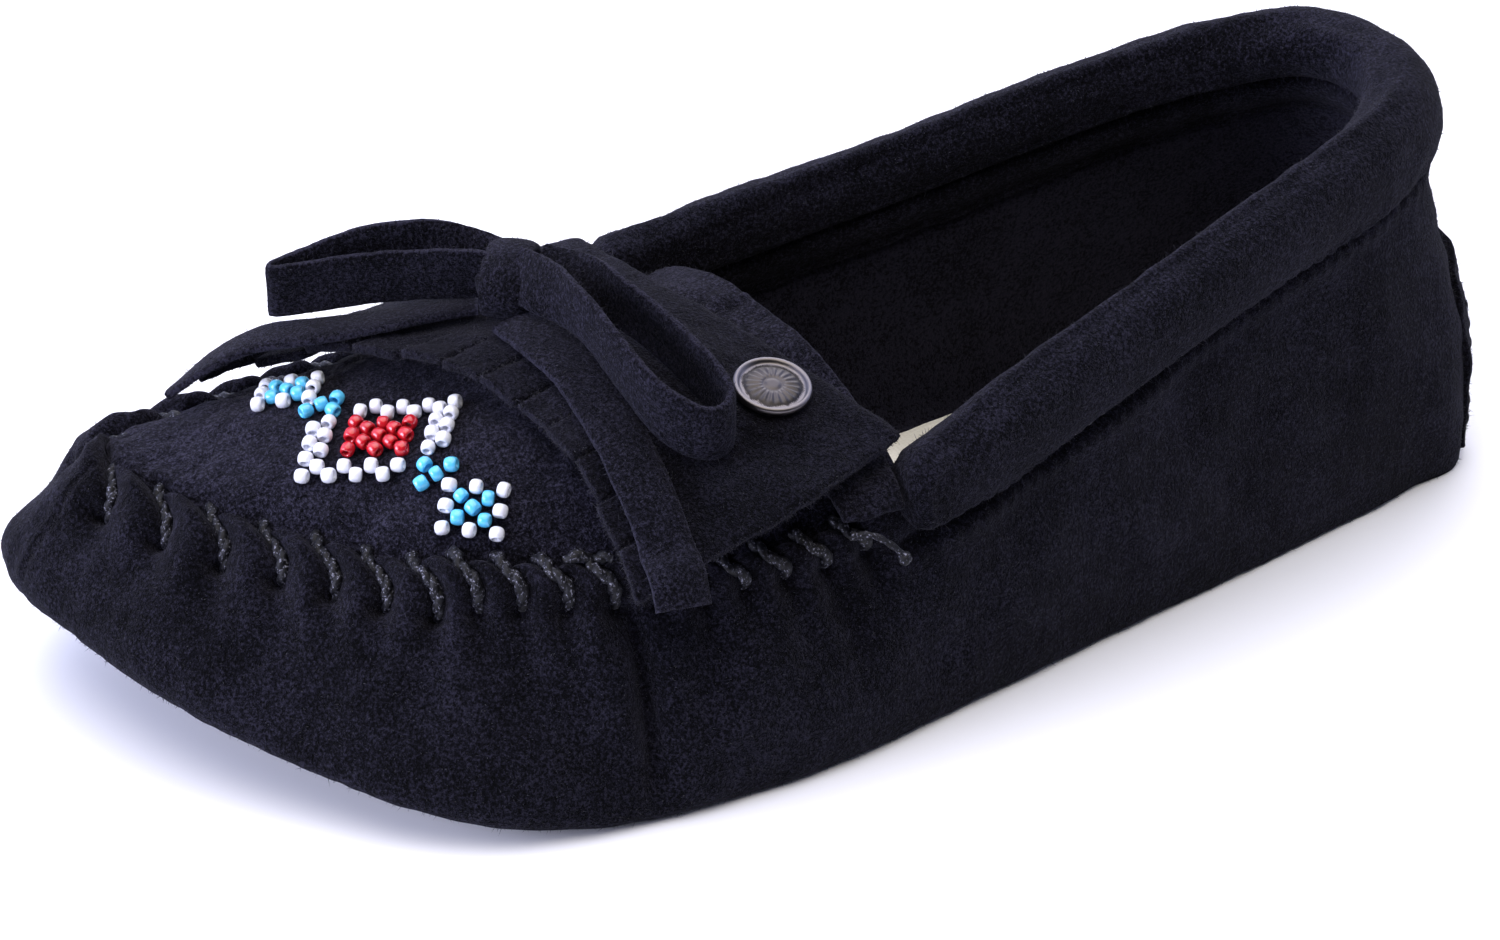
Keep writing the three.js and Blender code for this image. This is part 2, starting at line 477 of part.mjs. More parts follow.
piece('lace_tail_near', flat(nearTail, 14), M.suede);
const farTail = [[-17.6, -39.6], [-19.4, -45], [-21.4, -51]].map(([x, y]) => lying(x, y, restOn));
farTail.push([-25.6, -60, 50.4, -0.2, -0.1, 1], [-30.4, -67.6, 48.6, -0.4, -0.4, 0.9],
  [-34, -74, 44.6, -0.6, -0.6, 0.6], [-36.8, -78.6, 39.6, -0.8, -0.6, 0.4]);
piece('lace_tail_far', flat(farTail, 12), M.suede);

// ---- beadwork: three plain diamonds in a row, the middle one large ----
const BEAD_MID = [-4.3, -60], PITCH = BEAD + 0.06;
const ACROSS = [0.95, 0.31], FORWARD = [-0.1, -0.995];
function plugAt(x, y) {
  let k = 3.5, v = 0.5;
  for (let n = 0; n < 60; n++) {
    const p = plugPoint(k, v), pk = plugPoint(k + 0.02, v), pv = plugPoint(k, v + 0.01);
    const [kx, ky, vx, vy] = [(pk[0] - p[0]) * 50, (pk[1] - p[1]) * 50, (pv[0] - p[0]) * 100,
      (pv[1] - p[1]) * 100];
    const det = kx * vy - ky * vx, dx = x - p[0], dy = y - p[1];
    k += 0.6 * (dx * vy - dy * vx) / det;
    v += 0.6 * (kx * dy - ky * dx) / det;
  }
  return [k, v];
}
function beadPlace(p, q) {           // p across, q towards the toe, in bead pitches
  const [x, y] = add(add(BEAD_MID, ACROSS, p * PITCH), FORWARD, q * PITCH);
  const [k, v] = plugAt(x, y), n = plugNormal(k, v);
  return { at: add(plugPoint(k, v), n, BEAD / 2 + GAP), n };
}
const BARREL = [[0, -0.5], [0.36, -0.5], [0.5, 0], [0.36, 0.5], [0, 0.5]]
  .map(([r, z]) => [r * BEAD, z * BEAD_LEN]);
function beadRow(name, list, material) {
  const spots = list.map(([p, q]) => beadPlace(p, q).at);
  const parts = spots.map((p, k) => {
    const q = spots[k + 1] ?? spots[k - 1];
    return disc(BARREL, p, unit(sub(q, p)), 6);
  });
  for (let k = 0; k + 1 < spots.length; k++) parts.push(tube([spots[k], spots[k + 1]], 0.3, 3));
  piece(name, joined(parts), material);
}
const diamond = (n) => {             // closed walk round |p| + |q| = n
  const w = [];
  for (let k = 0; k < n; k++) w.push([k - n, k]);
  for (let k = 0; k < n; k++) w.push([k, n - k]);
  for (let k = 0; k < n; k++) w.push([n - k, -k]);
  for (let k = 0; k < n; k++) w.push([-k, k - n]);
  return w;
};
const arc = (n, from, to) => diamond(n).concat(diamond(n)).slice(from, to);
beadRow('beads_centre', [[0, -2], [1, -1], [0, -1], [-1, -1], [-2, 0], [-1, 0], [0, 0], [1, 0], [2, 0],
  [1, 1], [0, 1], [-1, 1], [0, 2]], M.red);
beadRow('beads_chevron_toe', arc(4, 1, 8), M.white);
beadRow('beads_chevron_heel', arc(4, 9, 16), M.white);
beadRow('beads_edge_toe', arc(5, 2, 9), M.white);
beadRow('beads_edge_heel', arc(5, 12, 19), M.white);
beadRow('beads_corner_far', [[-5, -1], [-4, 0], [-5, 0], [-5, 1]], M.blue);
beadRow('beads_corner_near', [[5, -1], [4, 0], [5, 0], [5, 1]], M.blue);
for (const [side, mid] of [['far', -8.1], ['near', 8.1]]) {
  const beside = (list) => list.map(([p, q]) => [mid + p, q]);
  beadRow(`beads_side_${side}_ring`, beside(diamond(2)), M.white);
  beadRow(`beads_side_${side}_middle`, beside([[0, -1], [-1, 0], [0, 0], [1, 0], [0, 1]]), M.blue);
}

export default moccasin;
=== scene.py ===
"""Looks of a left-foot suede moccasin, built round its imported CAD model. Shapes are worked out in
millimetres in the model's own frame (toe towards -Y, outer side +X, +Z up) and stored in metres."""
import math

import bpy
import numpy as np
from mathutils import Matrix, Vector
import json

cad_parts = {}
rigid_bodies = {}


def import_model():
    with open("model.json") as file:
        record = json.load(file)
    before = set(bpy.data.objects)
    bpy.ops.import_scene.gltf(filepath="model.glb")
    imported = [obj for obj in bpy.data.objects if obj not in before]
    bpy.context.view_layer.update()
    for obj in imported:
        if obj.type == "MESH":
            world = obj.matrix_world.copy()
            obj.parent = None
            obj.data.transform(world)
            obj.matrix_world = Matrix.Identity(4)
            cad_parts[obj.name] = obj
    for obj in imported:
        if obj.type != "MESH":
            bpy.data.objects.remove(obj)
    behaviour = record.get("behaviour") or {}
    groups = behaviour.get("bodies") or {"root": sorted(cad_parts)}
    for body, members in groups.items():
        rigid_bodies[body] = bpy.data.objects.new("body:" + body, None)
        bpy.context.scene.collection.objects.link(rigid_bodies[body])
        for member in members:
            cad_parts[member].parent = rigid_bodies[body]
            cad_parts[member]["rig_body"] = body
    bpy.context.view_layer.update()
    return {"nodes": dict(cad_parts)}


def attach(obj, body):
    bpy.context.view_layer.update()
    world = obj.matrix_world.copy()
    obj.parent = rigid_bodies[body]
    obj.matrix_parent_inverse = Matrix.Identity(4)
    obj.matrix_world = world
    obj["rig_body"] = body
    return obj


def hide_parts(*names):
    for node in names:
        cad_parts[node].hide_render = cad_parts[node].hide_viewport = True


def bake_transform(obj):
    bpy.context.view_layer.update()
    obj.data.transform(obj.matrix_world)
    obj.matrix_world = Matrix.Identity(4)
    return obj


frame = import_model()
MM = 0.001

# ---- driving dimensions, as in the CAD
SUEDE, THIN, GAP = 2.0, 1.6, 0.35
BEAD, BEAD_LEN = 2.35, 1.9
LACE_W, LACE_T, LACE_STEP = 8.0, 1.5, 0.7
CUFF_DROP, BUTTON_R, TOE_SPRING, HEEL = 8.6, 6.0, 14.0, 16

SOLE_LAT = [[-28, -102], [-10, -98], [8, -91], [21.5, -83], [33, -74], [41.5, -60.5], [45.5, -43],
            [47, -24], [46, -4], [43.5, 14], [40.5, 33], [37.5, 53], [34.5, 73], [31.5, 91],
            [28.5, 106], [24.5, 118], [1, 120.4]]
SOLE_MED = [[-28, -102], [-39, -99.5], [-44, -91], [-44.5, -79], [-44.3, -66], [-44, -52], [-43, -37],
            [-40, -21], [-35, -5], [-29.5, 12], [-25.5, 31], [-24.5, 51], [-25, 71], [-25.5, 90],
            [-25, 106], [-22, 118], [1, 120.4]]
TOP_LAT = [[-29.5, -93, 35], [-20, -90, 34.6], [-8, -83.3, 34.3], [5, -73.3, 33.8], [17, -63, 33.3],
           [26, -51, 33], [31.5, -38.5, 32.7], [35.5, -22, 32.6], [37.6, -5, 33.4], [38, 10, 37.2],
           [35, 27, 40.8], [31, 47, 45.4], [27.5, 66, 50], [24, 84, 54], [19.5, 99.5, 56.8],
           [12, 110.5, 58.8], [0, 114.3, 59.4]]
TOP_MED = [[-29.5, -93, 35], [-37, -91, 34.4], [-40.3, -83, 34.2], [-40.8, -71, 34.4], [-40.8, -58, 34.8],
           [-40.4, -46, 34.8], [-39.8, -34, 35], [-39.2, -22, 35], [-38.8, -10, 35.4], [-37.8, 6, 37.2]]
TOP_MED += [[-x, y, z] for x, y, z in TOP_LAT[10:]]
BULGE_LAT = [[12, 17.5, 8], [11.5, 17, 9], [11, 15.5, 10], [10, 13, 11], [9.5, 12, 12], [9, 11, 13],
             [9, 10, 14], [8, 8, 14], [7, 6, 15], [6, 4, 16], [5, 4, 18], [4.5, 4, 20], [4, 4, 22],
             [3, 5, 24], [2, 9, 25], [1.5, 13.5, 22], [1.5, 14, 22]]
BULGE_MED = [[12, 17.5, 8], [12, 15, 8], [9.5, 10.5, 10], [9, 9, 12], [8, 8, 12], [8, 7, 13], [8, 6, 13],
             [7, 5, 13], [6, 3, 14], [5, 2, 15], [4, 1, 18], [4, 1, 20], [4, 2, 22], [3, 3.5, 24],
             [2, 8.5, 25], [1.5, 13.5, 22], [1.5, 14, 22]]


def loop(lat, med):
    return np.array(lat + med[1:HEEL][::-1], float)


SOLE, TOP, BULGE = loop(SOLE_LAT, SOLE_MED), loop(TOP_LAT, TOP_MED), loop(BULGE_LAT, BULGE_MED)


# ---- small maths
def unit(v):
    v = np.asarray(v, float)
    return v / (np.linalg.norm(v, axis=-1, keepdims=True) + 1e-12)


def square_to(n, d):
    """The part of n at right angles to d, at unit length."""
    return unit(n - d * (n * d).sum(-1, keepdims=True))


def distances(p):
    """How far along a row of points each one is."""
    return np.concatenate([[0], np.cumsum(np.linalg.norm(np.diff(p, axis=0), axis=1))])


def at_distance(s, run, line):
    """The place s mm along a row of points whose distances are run."""
    return np.stack([np.interp(s, run, line[:, k]) for k in range(3)], -1)


def hermite(p0, p1, p2, p3, f):
    m1, m2, d = (p2 - p0) / 2, (p3 - p1) / 2, p2 - p1
    return p1 + f * (m1 + f * (3 * d - 2 * m1 - m2 + f * (m1 + m2 - 2 * d)))


def spline(points, t):
    """Open Catmull-Rom curve through the points, t from 0 to n - 1."""
    p = np.asarray(points, float)
    t = np.asarray(t, float)
    ext = np.vstack([2 * p[0] - p[1], p, 2 * p[-1] - p[-2]])
    i = np.clip(np.floor(t).astype(int), 0, len(p) - 2)
    return hermite(ext[i], ext[i + 1], ext[i + 2], ext[i + 3], (t - i)[..., None])


def ring(points, u):
    """The same round a closed loop."""
    u = np.asarray(u, float)
    i = np.floor(u).astype(int)
    p0, p1, p2, p3 = (points[(i + k) % len(points)] for k in (-1, 0, 1, 2))
    return hermite(p0, p1, p2, p3, (u - i)[..., None])


def ramp(x, a, b):
    """0 before a, 1 after b, smooth between them."""
    t = np.clip((np.asarray(x, float) - a) / (b - a), 0, 1)
    return t * t * (3 - 2 * t)


def bell(x, width):
    return np.exp(-((np.asarray(x, float) / width) ** 2))


def outward(points, u):
    """Level direction square to the loop, away from the shoe."""
    d = ring(points, np.asarray(u) + 0.05) - ring(points, np.asarray(u) - 0.05)
    return unit(np.stack([d[..., 1], -d[..., 0], 0 * d[..., 0]], -1))


def up(z):
    z = np.asarray(z, float)
    return np.stack([0 * z, 0 * z, z], -1)


def sole_edge(u):
    p = ring(SOLE, u)
    z = TOE_SPRING * (np.clip(-42 - p[..., 1], 0, None) / 60) ** 1.5
    return np.concatenate([p, z[..., None]], -1)


def top_edge(u):
    return ring(TOP, u)


def wall(u, t):
    """Plain outside of the wrap: t is 0 at the sole's edge and 1 at the top edge."""
    u, t = np.broadcast_arrays(np.asarray(u, float), np.asarray(t, float))
    t = t[..., None]
    s, e, b = sole_edge(u), top_edge(u), ring(BULGE, u)
    h0 = s + outward(SOLE, u) * b[..., :1]
    h1 = e + outward(TOP, u) * b[..., 1:2] - up(b[..., 2])
    return (1 - t) ** 3 * s + 3 * t * (1 - t) ** 2 * h0 + 3 * t * t * (1 - t) * h1 + t**3 * e


def waves(p, size, seed):
    """Smooth noise of about -1 to 1 over points in mm; size is the usual bump's width."""
    rng, count = np.random.default_rng(seed), 14
    d = unit(rng.normal(size=(count, 3))) * (2 * math.pi / size) * rng.uniform(0.6, 1.5, (count, 1))
    return np.sin(p @ d.T + rng.uniform(0, 6.283, count)).sum(-1) * 1.6 / count**0.5


# the wall measured in mm: s along the top edge from the toe tip, h down from the top edge
U_FINE = np.linspace(-16, 16, 1281)
S_FINE = distances(top_edge(U_FINE))
S_FINE -= np.interp(0, U_FINE, S_FINE)
T_FINE = np.linspace(1, 0, 161)
_w = wall(U_FINE[:, None], T_FINE[None, :])
H_FINE = np.concatenate([np.zeros((len(U_FINE), 1)),
                         np.cumsum(np.linalg.norm(np.diff(_w, axis=1), axis=2), axis=1)], axis=1)
Q_FINE = np.linspace(0, 1, 161)
T_OF_Q = np.array([np.interp(Q_FINE * h[-1], h, T_FINE) for h in H_FINE])


def fold(u):
    """u brought into -16..16: negative on the inner side."""
    return (np.asarray(u, float) + 16) % 32 - 16


def arc(u):
    return np.interp(fold(u), U_FINE, S_FINE)


def at_arc(s):
    return np.interp(s, S_FINE, U_FINE)


def wall_length(u):
    return np.interp(fold(u), U_FINE, H_FINE[:, -1])


def wall_t(u, h):
    u = fold(u)
    q = np.clip(np.asarray(h, float) / wall_length(u), 0, 1) * (len(Q_FINE) - 1)
    x = (u + 16) * (len(U_FINE) - 1) / 32
    i, j = np.clip(np.floor(x).astype(int), 0, len(U_FINE) - 2), np.clip(np.floor(q).astype(int), 0, 159)
    fx, fq = x - i, q - j
    t = T_OF_Q
    return (t[i, j] * (1 - fx) * (1 - fq) + t[i + 1, j] * fx * (1 - fq)
            + t[i, j + 1] * (1 - fx) * fq + t[i + 1, j + 1] * fx * fq)


def wall_normal(u, t):
    du = wall(u + 0.04, t) - wall(u - 0.04, t)
    dt = wall(u, np.minimum(t + 0.02, 1)) - wall(u, np.maximum(t - 0.02, 0))
    return unit(np.cross(du, dt))


# ---- whip stitches and what they pull in
SEAM_U = (-7.4, 8.1)
SLANT, BITE = 4.8, 5.6              # a stitch leans this far along the edge while it goes this far down


def stitch_places():
    """For each whip stitch: its place along the top edge, how deep a crease it pulls, how long the crease
    runs and leans, and the stitch's size as a share of the full one."""
    places, rng = [], np.random.default_rng(5)
    for sign, limit in ((1, arc(SEAM_U[1])), (-1, -arc(SEAM_U[0]))):
        s = -0.4
        while abs(s) < limit:
            places.append(s)
            s += sign * max(6.5, 10.6 - 0.066 * abs(s))
    places = sorted(set(places))
    return [(s, rng.uniform(0.6, 1.25), rng.uniform(5, 20), rng.uniform(-0.12, 0.25),
             1 - 0.42 * float(ramp(abs(s), 52, 64))) for s in places]


def lean_at(h, short=1.0):
    """How far along the edge a stitch has got when it is h mm down: fast at first, then straight down."""
    return SLANT * short * (1 - (1 - np.clip(h / (BITE * short), 0, 1)) ** 2.6)


STITCHES = stitch_places()
CUFF_LAT, CUFF_MED, CUFF_PITCH = 8.65, 23.7, 2.8
CREASE_S = 85.4                     # the deep fold in the outer wall at the end of the flap


def under_cuff(u):
    """1 where the cuff is sewn to the wrap, 0 where it isn't."""
    return ramp(fold(u), CUFF_LAT - 0.5, CUFF_LAT + 0.3) + 1 - ramp(fold(u), CUFF_MED - 32.3, CUFF_MED - 31.5)


def pucker(u, h):
    """(how far the wrap stands out from the plain wall, how much its top edge rises), in mm."""
    s, h = arc(u), np.asarray(h, float)
    out, rise = np.zeros(np.broadcast(s, h).shape), np.zeros(np.broadcast(s, h).shape)
    near_rim = 1 - ramp(h, 0.5, 5)
    for k, (sk, size, run, lean, short) in enumerate(STITCHES):
        bite = BITE * short
        ds = s - (sk + lean_at(h, short) + lean * np.clip(h - bite, 0, None))
        toe = short * (1.0 + 0.55 * math.exp(-((sk + 4) / 26) ** 2))      # strongest round the toe's tip
        # the groove under the stitch and its notch in the rim
        out -= 1.45 * toe * bell(ds, 1.25) * (1 - ramp(h, bite, bite + 3))
        rise -= 0.8 * bell(ds, 1.5) * near_rim
        # the pit where it goes in, and the crease that runs down from there
        pit = np.hypot(s - (sk + SLANT * short - 1.0), h - bite - 1.6)
        out -= 1.7 * toe * bell(pit, 1.5)
        out -= 1.15 * size * bell(ds, 1.9 + 0.07 * h) * ramp(h, bite, bite + 2) * (
            1 - ramp(h, bite + 2 + 0.4 * run, bite + 3 + run))
        if k + 1 < len(STITCHES):
            # the bump of gathered suede between it and the next one
            gap = STITCHES[k + 1][0] - sk
            if gap < 12:
                mid = s - (sk + gap / 2 + lean_at(h, short))
                out += 1.35 * toe * bell(mid, 0.34 * gap) * (1 - ramp(h, 4, 14)) * (0.3 + 0.7 * ramp(h, 0, 2))
                rise += 0.75 * toe * bell(mid, 0.3 * gap) * near_rim
    # the deep fold, with a swell on each side of it
    ds = s - CREASE_S - 0.02 * h
    out -= 2.3 * bell(ds, 1.5) * ramp(h, 1, 6) * (1 - ramp(h, 22, 38))
    out += 1.0 * (bell(ds - 4.4, 2.6) + bell(ds + 4.6, 3.0)) * ramp(h, 2, 8) * (1 - ramp(h, 18, 36))
    # valley of the cuff's seam, with the wall standing proud just under it, drawn in by each stitch
    cuffed = under_cuff(u)
    beat = 0.5 + 0.5 * np.cos(2 * math.pi * (s - arc(CUFF_LAT)) / CUFF_PITCH)
    out += cuffed * (1.35 * bell(h - 9.3, 2.0) * (1 - 0.35 * beat) - 1.1 * bell(h - 6.2, 1.3))
    # the rim stands higher beside the flap, and the back has its seam
    under = ramp(s, 50, 60) * (1 - ramp(s, 90, 95))
    rise += 2.1 * under * near_rim
    out += 0.9 * under * bell(h - 1.5, 3)
    back = np.abs(fold(u) - np.sign(fold(u)) * 16) * 9
    out -= 0.7 * bell(back, 0.9) * (1 - ramp(h, 20, 26))
    return out, rise


def wrinkle(p, h, length):
    """Soft unevenness of the wall."""
    mid = ramp(h, 2, 12) * (0.15 + 0.85 * ramp(length - h, 1, 14))
    return mid * (0.5 * waves(p, 36, 1) + 0.2 * waves(p, 14, 2)) + 0.06 * waves(p, 4.2, 3)


def wrap_point(u, h, lift=0.0):
    """Outside of the finished wrap, h mm down from its top edge, and lift mm off it."""
    t = wall_t(u, h)
    p, n = wall(u, t), wall_normal(u, t)
    out, rise = pucker(u, h)
    out = out + wrinkle(p, h, wall_length(u)) + lift
    return p + n * out[..., None] + up(rise), n


# ---- plug, flap
CROWN = np.array([[0], [1], [3], [6], [9], [11.5], [13], [13.2], [11.8]], float)
FLAP_FAR = [[-35.5, -12, 45.5], [-38.5, -30, 43.6], [-40.3, -52, 41.8], [-40.3, -74, 39.5]]
FLAP_NEAR = [[35.4, 4.6, 45.5], [39.8, -12, 42.6], [41.6, -27, 39.6], [42.6, -42, 36]]
FLAP_MID = [[-1, -7, 51.2], [-1, -20, 52.6], [0, -33, 53.4], [1, -46, 53]]
FRINGE, STRIPS = 0.8, 12            # where the slits start, as a share of the flap, and how many strips
BUTTON_AT = (21, -8)


def inset(u):
    """How far inside the wrap's top edge the plug's edge lies."""
    b = ring(BULGE, u)
    return 0.45 + SUEDE * b[..., 2] / np.hypot(b[..., 1], b[..., 2])


def plug_point(k, v):
    """Plain upper side of the plug: k runs from toe to throat, v from its outer edge to its inner one."""
    k, v = np.broadcast_arrays(np.asarray(k, float), np.asarray(v, float))
    a = top_edge(k) - outward(TOP, k) * inset(k)[..., None]
    b = top_edge(32 - k) - outward(TOP, 32 - k) * inset(32 - k)[..., None]
    p = a + (b - a) * v[..., None]
    return p + up(spline(CROWN, k)[..., 0] * (1 - np.abs(2 * v - 1) ** 2.6) + 0.4)


def flap_point(a, b):
    """Plain upper side of the flap: a runs from its inner side to its outer one, b from fold to fringe."""
    a, b = np.broadcast_arrays(np.asarray(a, float), np.asarray(b, float))
    f, n, c = (spline(p, b * 3) for p in (FLAP_FAR, FLAP_NEAR, FLAP_MID))
    a = a[..., None]
    return f + (n - f) * a + (c - (f + n) / 2) * (1 - np.abs(2 * a - 1) ** 2)


def surface_normal(point, a, b, d=0.02):
    """The surface's normal on its upper side."""
    n = unit(np.cross(point(a + d, b) - point(a - d, b), point(a, b - d) - point(a, b + d)))
    return np.where(n[..., 2:] < 0, -n, n)


def solve(point, x, y, a, b):
    """The surface parameters above a plan position."""
    for _ in range(60):
        p, pa, pb = point(a, b), point(a + 0.01, b), point(a, b + 0.01)
        m = np.array([[pa[0] - p[0], pb[0] - p[0]], [pa[1] - p[1], pb[1] - p[1]]]) * 100
        step = np.linalg.solve(m, [x - p[0], y - p[1]])
        a, b = a + 0.7 * step[0], b + 0.7 * step[1]
    return a, b


def on_flap(x, y, lift):
    a, b = solve(flap_point, x, y, 0.5, 0.5)
    n = surface_normal(flap_point, a, b)
    return flap_point(a, b) + n * lift, n


# ---- meshes
def grid_faces(rows, cols, keep=None, closed=False):
    i, j = np.meshgrid(np.arange(rows - 1), np.arange(cols if closed else cols - 1), indexing="ij")
    if keep is not None:
        mask = keep(i, j)
        i, j = i[mask], j[mask]
    i, j = i.ravel(), j.ravel()
    k = (j + 1) % cols
    return np.stack([i * cols + j, (i + 1) * cols + j, (i + 1) * cols + k, i * cols + k], 1)


def vertex_normals(v, f):
    n = np.cross(v[f[:, 2]] - v[f[:, 0]], v[f[:, 3]] - v[f[:, 1]])
    out = np.zeros_like(v)
    for k in range(4):
        np.add.at(out, f[:, k], n)
    return unit(out)


def thicken(v, f, depth, edge=0.3):
    """A closed solid from an open sheet: depth behind its normals, with rounded cut edges."""
    n, count = vertex_normals(v, f), len(v)
    e = np.concatenate([f[:, [0, 1]], f[:, [1, 2]], f[:, [2, 3]], f[:, [3, 0]]])
    e = e[e[:, 0] != e[:, 1]]
    e = e[~np.isin(e[:, 0] * count + e[:, 1], e[:, 1] * count + e[:, 0])]
    side = np.zeros_like(v)
    push = unit(np.cross(v[e[:, 1]] - v[e[:, 0]], n[e[:, 0]]))
    np.add.at(side, e[:, 0], push)
    np.add.at(side, e[:, 1], push)
    rim = np.unique(e)
    slot = np.full(count, -1)
    slot[rim] = np.arange(len(rim))
    o = unit(side[rim]) * edge
    mid1 = v[rim] + o - n[rim] * edge
    mid2 = v[rim] + o - n[rim] * (depth - edge)
    verts = np.concatenate([v, v - n * depth, mid1, mid2])
    a, b = e[:, 0], e[:, 1]
    a1, b1 = slot[a] + 2 * count, slot[b] + 2 * count
    a2, b2 = a1 + len(rim), b1 + len(rim)
    faces = np.concatenate([f, f[:, ::-1] + count, np.stack([b, a, a1, b1], 1),
                            np.stack([b1, a1, a2, b2], 1), np.stack([b2, a2, a + count, b + count], 1)])
    return verts, faces


def facing_grid(p, towards=None, keep=None):
    """A grid of points as vertices and quads that face the given directions, or upwards."""
    v, f = p.reshape(-1, 3), grid_faces(*p.shape[:2], keep=keep)
    way = np.array([0, 0, 1.0]) if towards is None else np.asarray(towards).reshape(-1, 3)
    return v, f[:, ::-1] if (vertex_normals(v, f) * way).sum() < 0 else f


def quads(faces):
    return np.array([q for q in faces if len(q) == 4])


def merge(parts):
    """Several (vertices, faces) as one; faces may be arrays or lists of tuples."""
    verts, faces, base = [], [], 0
    for v, f in parts:
        verts.append(np.asarray(v, float))
        faces += [tuple(int(x) + base for x in q) for q in f]
        base += len(v)
    return np.concatenate(verts), faces


def make(name, v, f, material, body, nodes=(), pale=None):
    """A smooth mesh that rides with a body and stands for CAD nodes. pale is 0 where a vertex is plain nap,
    up to 1 at a cut edge and, as painted light, on the inside of the wrap (the back of the skin), and below 0
    where painted shade darkens a seam."""
    me = bpy.data.meshes.new(name)
    faces = [tuple(dict.fromkeys(int(x) for x in q)) for q in f]
    me.from_pydata((np.asarray(v, float) * MM).tolist(), [], [q for q in faces if len(q) > 2])
    me.validate()
    me.update()
    for p in me.polygons:
        p.use_smooth = True
    me.materials.append(material)
    if pale is not None:
        me.attributes.new("pale", "FLOAT", "POINT").data.foreach_set("value", np.asarray(pale, np.float32))
    o = bpy.data.objects.new(name, me)
    bpy.context.scene.collection.objects.link(o)
    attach(o, body)
    if nodes:
        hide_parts(*nodes)
    return o


def carried(path, hint):
    """Two section axes along a path, carried without twisting."""
    d = unit(np.gradient(path, axis=0))
    n, out = np.asarray(hint, float), []
    for t in d:
        n = square_to(n, t)
        out.append(n)
    out = np.array(out)
    return out, np.cross(d, out)


def sweep(path, ax, ay, section):
    """Closed tube of the section (m, 2), or of one section for each point, with flat ends."""
    path, section = np.asarray(path, float), np.asarray(section, float)
    if section.ndim == 2:
        section = np.broadcast_to(section, (len(path), *section.shape))
    v = path[:, None] + ax[:, None] * section[..., :1] + ay[:, None] * section[..., 1:]
    n, m = section.shape[:2]
    v, side = v.reshape(-1, 3), grid_faces(n, m, closed=True)[:, ::-1]
    faces = [tuple(q) for q in side] + [tuple(range(m)), tuple(reversed(range((n - 1) * m, n * m)))]
    a, b, c, d = (v[side[:, k]] for k in range(4))
    if (np.cross(b - a, c - a) * a).sum() + (np.cross(c - a, d - a) * a).sum() < 0:
        faces = [q[::-1] for q in faces]
    return v, faces


def circle(r, sides):
    a = (np.arange(sides) + 0.5) * 2 * math.pi / sides
    return np.stack([r * np.cos(a), r * np.sin(a)], 1)


def resample(points, step):
    """A smooth path through the points with even steps."""
    t = np.linspace(0, len(points) - 1, 40 * len(points))
    p = spline(points, t)
    s = distances(p)
    want = np.linspace(0, s[-1], max(3, int(round(s[-1] / step)) + 1))
    return at_distance(want, s, p), np.interp(want, s, t)


def twisted(points, size=2.3, phase=0.0):
    """Two-ply waxed thread along the points. pitch is the length of one twist."""
    step, pitch = 0.4, 4.5
    path, _ = resample(points, step)
    ax, ay = carried(path, (0, 0, 1))
    turn = np.arange(len(path)) * step * 2 * math.pi / pitch + phase
    apart, radius, sides = size * 0.12, size * 0.36, 8
    plies = (ax * np.cos(turn + a)[:, None] + ay * np.sin(turn + a)[:, None] for a in (0, math.pi))
    return [sweep(path + off * apart, ax, ay, circle(radius, sides)) for off in plies]


def stitch(points, radius, sides, step, hint=(0, 0, 1)):
    """One plain stitch of thread through the points."""
    path, _ = resample(points, step)
    return sweep(path, *carried(path, hint), circle(radius, sides))


def strap(path, across, face, seed, cup, width=LACE_W):
    """Flat suede thong: across is the width's direction, face the thin one's. Its cut edges waver, and
    its middle stands out by the cup."""
    rng = np.random.default_rng(seed)
    w = np.linspace(-0.5, 0.5, 9)
    rounding, bulge, waver = 0.22, 0.16, 0.22       # of the long edges
    bend, thin = cup * (1 - (2 * w) ** 2), LACE_T / 2 - rounding * np.abs(2 * w) ** 8
    n = len(path)
    wob = np.cumsum(rng.normal(0, 0.05, (2, n)), axis=1)
    wob -= np.linspace(0, 1, n) * wob[:, -1:]
    half = width / 2 + np.clip(wob, -waver, waver)
    sections = []
    for k in range(n):
        a, b = half[:, k]
        x = 2 * w * np.where(w < 0, a, b)
        top = np.stack([x, bend + thin], 1)
        low = np.stack([x, bend - thin], 1)[::-1]
        right = [[b + bulge, LACE_T / 4], [b + bulge, -LACE_T / 4]]
        left = [[-a - bulge, -LACE_T / 4], [-a - bulge, LACE_T / 4]]
        sections.append(np.concatenate([top, right, low, left]))
    return sweep(path, across, face, np.array(sections))


def strap_edges(v, count=22):
    """Pale at a strap's cut edges and ends; count is the number of points to a section."""
    k = np.arange(len(v))
    side = (k % count > 8) & (k % count < 11) | (k % count > 19)
    return np.where(side | (k < count) | (k >= len(v) - count), 0.9, 0.0)


# ---- camera
AZIMUTH, ELEVATION = math.radians(60.8), math.radians(33.0)
back = Vector((math.sin(AZIMUTH) * math.cos(ELEVATION), -math.cos(AZIMUTH) * math.cos(ELEVATION),
               math.sin(ELEVATION)))
cam = bpy.data.objects.new("camera", bpy.data.cameras.new("camera"))
cam.data.lens, cam.data.sensor_width = 120, 36
cam.data.clip_start, cam.data.clip_end = 0.05, 20
cam.location = (0.5649, -0.3156, 0.4413)
right = Vector((0, 0, 1)).cross(back).normalized()
cam.rotation_euler = Matrix((right, back.cross(right), back)).transposed().to_euler()
bpy.context.scene.collection.objects.link(cam)
bpy.context.scene.camera = cam


# ---- materials
SHOE_FUZZ, FLAP_FUZZ = [], []       # (vertices, quads, share) that grow loose fibres


